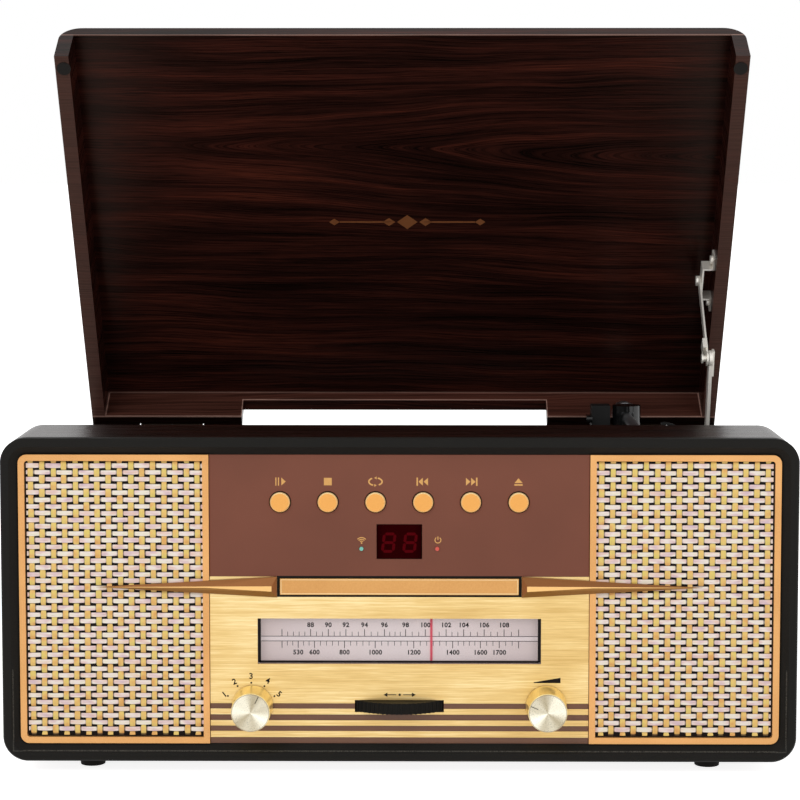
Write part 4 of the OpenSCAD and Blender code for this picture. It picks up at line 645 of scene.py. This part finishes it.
def weaveRows(name, side, seed):
    w = weave
    chance = random.Random(seed)
    width = w["right"] - w["left"]
    shape = bmesh.new()
    for row in range(1, w["rows"]):
        z0 = w["top"] - w["pitchZ"] * (row - 0.35)
        lift, tilt, wide = [chance.uniform(-1, 1) * w["jitter"] for _ in range(3)]
        phase = chance.uniform(0, 6.28)
        grid = bmesh.ops.create_grid(shape, x_segments=w["columns"] * 4, y_segments=2, size=0.5)["verts"]
        for v in grid:
            s, t = v.co.x, v.co.y * 2
            x = w["left"] + (s + 0.5) * width
            over = crossing(x - w["left"] - w["pitchX"] / 2, row, w["pitchX"])
            half = w["rowHalf"] + wide * 0.5 - 0.08 * (1 - over) * 0.5
            middle = z0 + lift + tilt * s + 0.1 * math.sin(s * 9 + phase)
            low = min(max(middle - half, w["bottom"]), w["top"] - w["least"])
            high = max(min(middle + half, w["top"]), low + w["least"])
            z = low + (high - low) * (t + 1) / 2
            deep = w["depth"] - over * w["swing"] - 0.05 * (1 - t * t)
            v.co = front(side * x, deep, z)
    newPiece(name, thicken(shape, w["rowThick"]), "weft", smooth=50)


def weaveColumns(name, side, seed):
    w = weave
    chance = random.Random(seed)
    height = w["top"] - w["bottom"]
    shape = bmesh.new()
    for column in range(w["columns"]):
        x0 = w["left"] + w["pitchX"] * (column + 0.5)
        lean, phase = chance.uniform(-1, 1) * 0.25, chance.uniform(0, 6.28)
        wide = [chance.uniform(-0.12, 0.12) for _ in range(w["rows"] + 2)]
        grid = bmesh.ops.create_grid(shape, x_segments=4, y_segments=w["rows"] * 5, size=0.5)["verts"]
        for v in grid:
            s, t = v.co.x * 2, v.co.y
            z = w["bottom"] + (t + 0.5) * height
            place = (w["top"] - z) / w["pitchZ"] + 0.35
            over = -math.cos(math.pi * (place - column))
            half = w["columnHalf"] - 0.16 * (1 - over) * 0.5 + wide[int(place + 0.5)]
            x = x0 + lean * t * 2 + 0.16 * math.sin(t * 7 + phase) + s * half
            x = max(w["left"], min(w["right"], x))
            deep = w["depth"] - max(-1, min(1, over * 1.5)) * w["swing"] - w["crown"] * (1 - s * s) * max(0.2, over)
            v.co = front(side * x, deep, z)
    newPiece(name, thicken(shape, w["rowThick"]), "warp", smooth=60)


weaveRows("weave_rows_left", -1, 11)
weaveRows("weave_rows_right", 1, 12)
weaveColumns("weave_columns_left", -1, 13)
weaveColumns("weave_columns_right", 1, 14)
print("grilles woven")

# signs above the six buttons
signs = {"z": 165.9, "depth": 4.4, "pitch": 26.6, "tall": 4.6}


def buttonSigns():
    shape = bmesh.new()
    h = signs["tall"]
    at = [facing(signs["pitch"] * (i - 2.5), signs["depth"] - 0.02, signs["z"]) for i in range(6)]
    for x in (-2.4, -0.93):
        bar(shape, at[0], x, 0, 0.62, h)
    polygon(shape, at[0], 1.45, 0, h * 1.12, 3.3, 3, -90)
    bar(shape, at[1], 0, 0, 4.4, 4.2)
    for turn in (0, 180):
        arc(shape, at[2], 0, 0, 3.7, 2.1, turn + 20, turn + 150, 0.85)
    for turn, x in ((1, 0.2), (-1, -0.2)):
        polygon(shape, at[2], x, turn * 2.1, 1.9, 1.7, 3, 90 * turn)
    for i, side in ((3, -1), (4, 1)):
        bar(shape, at[i], side * 3.3, 0, 0.85, h)
        for x in (1.0, -1.9):
            polygon(shape, at[i], side * x, 0, h * 1.1, 3.3, 3, -90 * side)
    polygon(shape, at[5], 0, 0.2, 5.2, 3.6, 3, 0)
    bar(shape, at[5], 0, -1.75, 4.6, 0.85)
    newPiece("button_signs", thicken(shape, 0.06), "inkGold")


lightMarks = {"depth": 4.38, "wave": (-21.1, 132.2), "ring": (21.6, 133.0), "waves": (1.1, 2.1, 3.1), "round": 1.65}


def panelMarks():
    # a wireless wave beside one light and an on and off ring beside the other
    shape = bmesh.new()
    p = lightMarks
    wave = facing(p["wave"][0], p["depth"], p["wave"][1])
    for r in p["waves"]:
        arc(shape, wave, 0, -0.9, r, r, -48, 48, 0.5, 10)
    polygon(shape, wave, 0, -0.9, 0.9, 0.9, 12)
    ring = facing(p["ring"][0], p["depth"], p["ring"][1])
    arc(shape, ring, 0, 0, p["round"], p["round"], 35, 325, 0.5, 18)
    bar(shape, ring, 0, 1.1, 0.5, 1.9)
    newPiece("panel_marks", thicken(shape, 0.06), "inkGold")


def part(shape, place, x, y, long, thick, slant):
    # one lit bar of a digit with pointed ends, lying flat or standing with a slant
    ring = bmesh.ops.create_circle(shape, cap_ends=True, segments=6, radius=0.5,
                                   matrix=Matrix.Rotation(math.pi / 2, 4, "Z"))["verts"]
    for v in ring:
        run = (abs(v.co.x) > 0.4) * math.copysign(long / 2, v.co.x) + \
            (abs(v.co.x) <= 0.4) * math.copysign(long / 2 - thick * 0.45, v.co.x)
        wide = v.co.y / 0.433 * thick / 2
        spot = (x + wide + run * slant, y + run) if slant else (x + run, y + wide)
        v.co = place @ Vector((spot[0] * mm, spot[1] * mm, 0))


def displayDigits():
    # two unlit seven-part digits that lean a little
    d = {"middles": (-5.9, 6.0), "z": 131.6, "wide": 6.0, "tall": 9.8, "thick": 1.6, "slant": 0.12}
    shape = bmesh.new()
    for middle in d["middles"]:
        place = facing(middle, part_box("display_window")[0][1] / mm - frontY / mm - 0.02, d["z"])
        for row in (-1, 0, 1):
            y = row * d["tall"] / 2
            part(shape, place, y * d["slant"], y, d["wide"] - 0.5, d["thick"], 0)
        for side in (-1, 1):
            for row in (-1, 1):
                y = row * d["tall"] / 4
                x = side * d["wide"] / 2 + y * d["slant"]
                part(shape, place, x, y, d["tall"] / 2 - 0.4, d["thick"], d["slant"])
    newPiece("display_digits", thicken(shape, 0.04), "dimDigit")


def doorOutline():
    # a black sheet round the drawer's opening as painted shade of the gap, and a painted highlight along the door's
    # edge
    d = {"wide": 133.6, "tall": 9.1, "z": 106.7, "lip": 1.3, "edge": 0.5}
    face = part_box("cd_door")[0][1] / mm - frontY / mm
    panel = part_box("control_panel")[0][1] / mm - frontY / mm
    hole = (d["wide"] + 3.4, d["tall"] + 2.8)
    for name, depth, wide, tall, line, finish, body, slot in (
            ("door_lip", panel - 0.04, *hole, d["lip"], "wheelBlack", "cabinet", "black_plastic"),
            ("door_edge_highlight", face - 0.02, d["wide"] - 0.7, d["tall"] - 0.7, d["edge"], "doorEdgeHighlight", "tray",
             "gold_paint")):
        shape = bmesh.new()
        flat = facing(0, depth, d["z"])
        for side in (-1, 1):
            bar(shape, flat, side * (wide - line) / 2, 0, line, tall)
            bar(shape, flat, 0, side * (tall - line) / 2, wide - 2 * line, line)
        newPiece(name, thicken(shape, 0.05), finish, body)


buttonSigns()
panelMarks()
doorOutline()
displayDigits()
print("signs and digits set")

# dial: scales, numbers and the dark inner edge of its window, part black border and part painted shade
dial = {
    "face": 9.0, "upperLine": 77.5, "lowerLine": 74.8, "left": -77.8, "right": 77.8, "upperNumbers": 83.9,
    "lowerNumbers": 68.3, "tall": 2.6, "first": -66.1, "last": 67.1,
    "upper": ((-50, "88"), (-40, "90"), (-30.1, "92"), (-19.6, "94"), (-8.4, "96"), (3.5, "98"), (14.6, "100"),
              (26.3, "102"), (36.2, "104"), (47.7, "106"), (58.9, "108")),
    "lower": ((-57, "530"), (-47.8, "600"), (-30.9, "800"), (-13.6, "1000"), (8.1, "1200"), (30, "1400"),
              (45.6, "1600"), (56.2, "1700")),
}


def dialPrint():
    shape = bmesh.new()
    d = dial
    depth = d["face"] - 0.03
    flat = facing(0, depth, 0)
    for z in (d["upperLine"], d["lowerLine"]):
        bar(shape, flat, (d["left"] + d["right"]) / 2, z, d["right"] - d["left"], 0.34)
    for marks, line, way in ((d["upper"], d["upperLine"], 1), (d["lower"], d["lowerLine"], -1)):
        stops = [d["first"]] + [x for x, _ in marks] + [d["last"]]
        for a, b in zip(stops, stops[1:]):
            bar(shape, flat, b, line + way * 2.0, 0.4, 4.0)
            steps = max(2, round((b - a) / 3.4))
            for i in range(1, steps):
                bar(shape, flat, a + (b - a) * i / steps, line + way * 1.3, 0.3, 2.6)
        bar(shape, flat, d["first"], line + way * 2.0, 0.4, 4.0)
    for marks, z in ((d["upper"], d["upperNumbers"]), (d["lower"], d["lowerNumbers"])):
        for x, words in marks:
            number(shape, facing(x, depth, z), words, d["tall"])
    newPiece("dial_print", thicken(shape, 0.02), "inkBlack")


fascia = {
    "knob": (-82.9, 39.0), "dots": ((-96.4, 44.4), (-90.9, 50.0), (-83.2, 51.9), (-75.8, 50.0), (-70.2, 44.3)),
    "dot": 1.1, "far": 16.6, "tall": 3.3, "wedge": (83.0, 53.4), "wedgeLong": 15, "wedgeTall": (0.5, 3.0),
    "wedgeDrop": 1.4, "arrows": (0.2, 45.2),
}


def fasciaMarks():
    # dots and numbers round the function knob, a wedge over the volume knob, arrows over the tuning wheel
    f = fascia
    shape = bmesh.new()
    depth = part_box("gold_fascia")[0][1] / mm - frontY / mm - 0.02
    knob = f["knob"]
    flat = facing(0, depth, 0)
    for i, (x, z) in enumerate(f["dots"]):
        polygon(shape, flat, x, z, f["dot"], f["dot"], 16)
        turn = math.degrees(math.atan2(x - knob[0], z - knob[1]))
        spot = (knob[0] + f["far"] * math.sin(math.radians(turn)), knob[1] + f["far"] * math.cos(math.radians(turn)))
        number(shape, facing(spot[0], depth, spot[1], turn * 0.55), str(i + 1), f["tall"])
    wedge = facing(f["wedge"][0], depth, f["wedge"][1])
    grid = bmesh.ops.create_grid(shape, x_segments=1, y_segments=1, size=0.5)["verts"]
    for v in grid:
        tall = f["wedgeTall"][0] if v.co.x < 0 else f["wedgeTall"][1]
        v.co = wedge @ Vector((v.co.x * f["wedgeLong"] * mm, ((v.co.y + 0.5) * tall - f["wedgeDrop"]) * mm, 0))
    arrows = facing(f["arrows"][0], depth, f["arrows"][1])
    for side in (-1, 1):
        polygon(shape, arrows, side * 7.6, 0, 2.8, 3.0, 3, -90 * side)
        bar(shape, arrows, side * 4.4, 0, 5.0, 0.5)
    polygon(shape, arrows, 0, 0, 1.4, 1.4, 16)
    newPiece("fascia_marks", thicken(shape, 0.05), "inkBlack")


def dialBorderAndShade():
    # the window's dark inner edge at the sides and below: part black border, part painted shade of the recess
    e = {"side": 78.5, "wide": 1.7, "low": 64.0, "tall": 1.3, "top": 88.1, "depth": 4.42}
    shape = bmesh.new()
    flat = facing(0, e["depth"], 0)
    for side in (-1, 1):
        bar(shape, flat, side * e["side"], (e["low"] + e["top"]) / 2, e["wide"], e["top"] - e["low"] + 1)
    bar(shape, flat, 0, e["low"], 2 * e["side"], e["tall"])
    newPiece("dial_border_and_shade", thicken(shape, 0.04), "inkBlack")


dialPrint()
dialBorderAndShade()
fasciaMarks()
print("dial printed")


def turnedFace(name, body, x, index):
    k = knobFace
    shape = bmesh.new()
    steps = k["grooves"] * 4
    ring = []
    for i in range(steps + 1):
        r = k["radius"] * i / steps
        deep = k["front"] - 0.06 + k["cut"] * math.sin(2 * math.pi * i / 4)
        ring.append(shape.verts.new(front(x + r, deep, k["z"])))
    ring.append(shape.verts.new(front(x + k["radius"] + 0.1, k["front"] + 0.04, k["z"])))
    edges = [shape.edges.new(pair) for pair in zip(ring, ring[1:])]
    bmesh.ops.spin(shape, geom=ring + edges, cent=front(x, 0, k["z"]), axis=(0, 1, 0), angle=2 * math.pi,
                   steps=72, use_merge=True)
    bmesh.ops.remove_doubles(shape, verts=shape.verts, dist=1e-7)
    for f in shape.faces:
        f.normal_update()
        if f.normal.y > 0:
            f.normal_flip()
    newPiece(name + "_face", shape, "knobFace", body, smooth=80)
    line = bmesh.new()
    place = facing(x, k["front"] - 0.10, k["z"], index)
    bar(line, place, 0, (k["indexFrom"] + k["indexTo"]) / 2, k["indexWide"], k["indexTo"] - k["indexFrom"])
    newPiece(name + "_index", thicken(line, 0.05), "inkBlack", body)


turnedFace("function_knob", "function", -knobFace["x"], 26)
turnedFace("volume_knob", "volume", knobFace["x"], -67)
print("knobs faced")


def lidOrnament():
    # a plain line with lozenges on the inside of the lid
    o = {"middle": 3.0, "along": 158.0, "deep": 27.8, "wide": 108.0, "line": 1.1}
    place = lidPlace @ Matrix.Translation(Vector((o["middle"], -o["along"], o["deep"] - 0.03)) * mm) @ \
        Matrix.Rotation(math.pi, 4, "X")
    shape = bmesh.new()
    for side in (-1, 1):
        bar(shape, place, side * o["wide"] * 0.27, 0, o["wide"] * 0.32, o["line"])
        for step, size in ((12.5, 6.5), (50.0, 5.5)):
            polygon(shape, place, side * step, 0, size * 1.3, size, 4, 0)
    polygon(shape, place, 0, 0, 14.0, 11.5, 4, 0)
    newPiece("lid_ornament", thicken(shape, 0.05), "inkCopper", "lid")


lidOrnament()

# studio: a white room, a pale floor and soft lamps
studio = {"world": 0.5, "floor": 0.86, "near": 0.86, "far": 1.0}


def whiteWorld():
    world = bpy.data.worlds.new("studioWorld")
    bpy.context.scene.world = world
    world.use_nodes = True
    tree = world.node_tree
    tree.nodes.clear()
    s = Shader("worldHelper")
    bpy.data.materials.remove(s.material)
    s.tree = tree
    seen = s.add("ShaderNodeLightPath", output=0)
    shine = s.add("ShaderNodeLightPath", output=3)
    through = s.add("ShaderNodeLightPath", output=6)
    strength = seen.larger(shine).larger(through) * (1 - studio["world"]) + studio["world"]
    sky = s.add("ShaderNodeBackground", None, {"Color": (1, 1, 1, 1), "Strength": strength})
    s.add("ShaderNodeOutputWorld", None, {0: sky})


def paleFloor():
    s = Shader("paleFloor")
    seen = s.add("ShaderNodeLightPath", output=0).larger(s.add("ShaderNodeLightPath", output=3))
    x, y, z = s.split(s.place())
    away = (x * x + y * y).root()
    grain = s.noise(s.join(x, y, z), 0.02, 2.0)
    level = studio["floor"]
    tone = s.mix(grain, (level, level, level, 1), (level * 0.99, level * 0.99, level * 0.98, 1))
    matt = s.add("ShaderNodeBsdfDiffuse", None, {"Color": tone})
    glow = s.span(away, 350, 1200, studio["near"], studio["far"])
    lift = s.add("ShaderNodeEmission", None, {"Color": (1, 1, 1, 1), "Strength": seen * glow})
    material = s.output(s.add("ShaderNodeAddShader", None, {0: matt, 1: lift}))
    shape = bmesh.new()
    bmesh.ops.create_grid(shape, x_segments=1, y_segments=1, size=30)
    mesh = bpy.data.meshes.new("floor")
    shape.to_mesh(mesh)
    shape.free()
    mesh.materials.append(material)
    floor = bpy.data.objects.new("floor", mesh)
    bpy.context.scene.collection.objects.link(floor)


def softLamp(name, place, aim, size, energy):
    lamp = bpy.data.lights.new(name, "AREA")
    lamp.shape = "SQUARE"
    lamp.size = size
    lamp.energy = energy
    holder = bpy.data.objects.new(name, lamp)
    bpy.context.scene.collection.objects.link(holder)
    holder.location = place
    holder.rotation_euler = (Vector(aim) - Vector(place)).to_track_quat("-Z", "Y").to_euler()


def addCamera():
    view = {"x": 10.2, "depth": -1271.8, "z": 345.3, "tilt": 4.4, "turn": 0.4405, "lens": 103.74, "shift": -0.0793}
    camera = bpy.data.cameras.new("camera")
    camera.sensor_width = 36
    camera.lens = view["lens"]
    camera.shift_y = view["shift"]
    camera.clip_end = 50
    holder = bpy.data.objects.new("camera", camera)
    bpy.context.scene.collection.objects.link(holder)
    holder.location = front(view["x"], view["depth"], view["z"])
    holder.rotation_euler = (math.radians(90 - view["tilt"]), 0, math.radians(view["turn"]))
    bpy.context.scene.camera = holder


whiteWorld()
paleFloor()
softLamp("keyLamp", (-1.1, -1.9, 1.7), (0, 0, 0.15), 1.3, 18)
softLamp("fillLamp", (1.3, -1.9, 1.0), (0, 0, 0.2), 1.2, 8)
addCamera()
bpy.context.scene.view_settings.view_transform = "Standard"
print("studio ready")
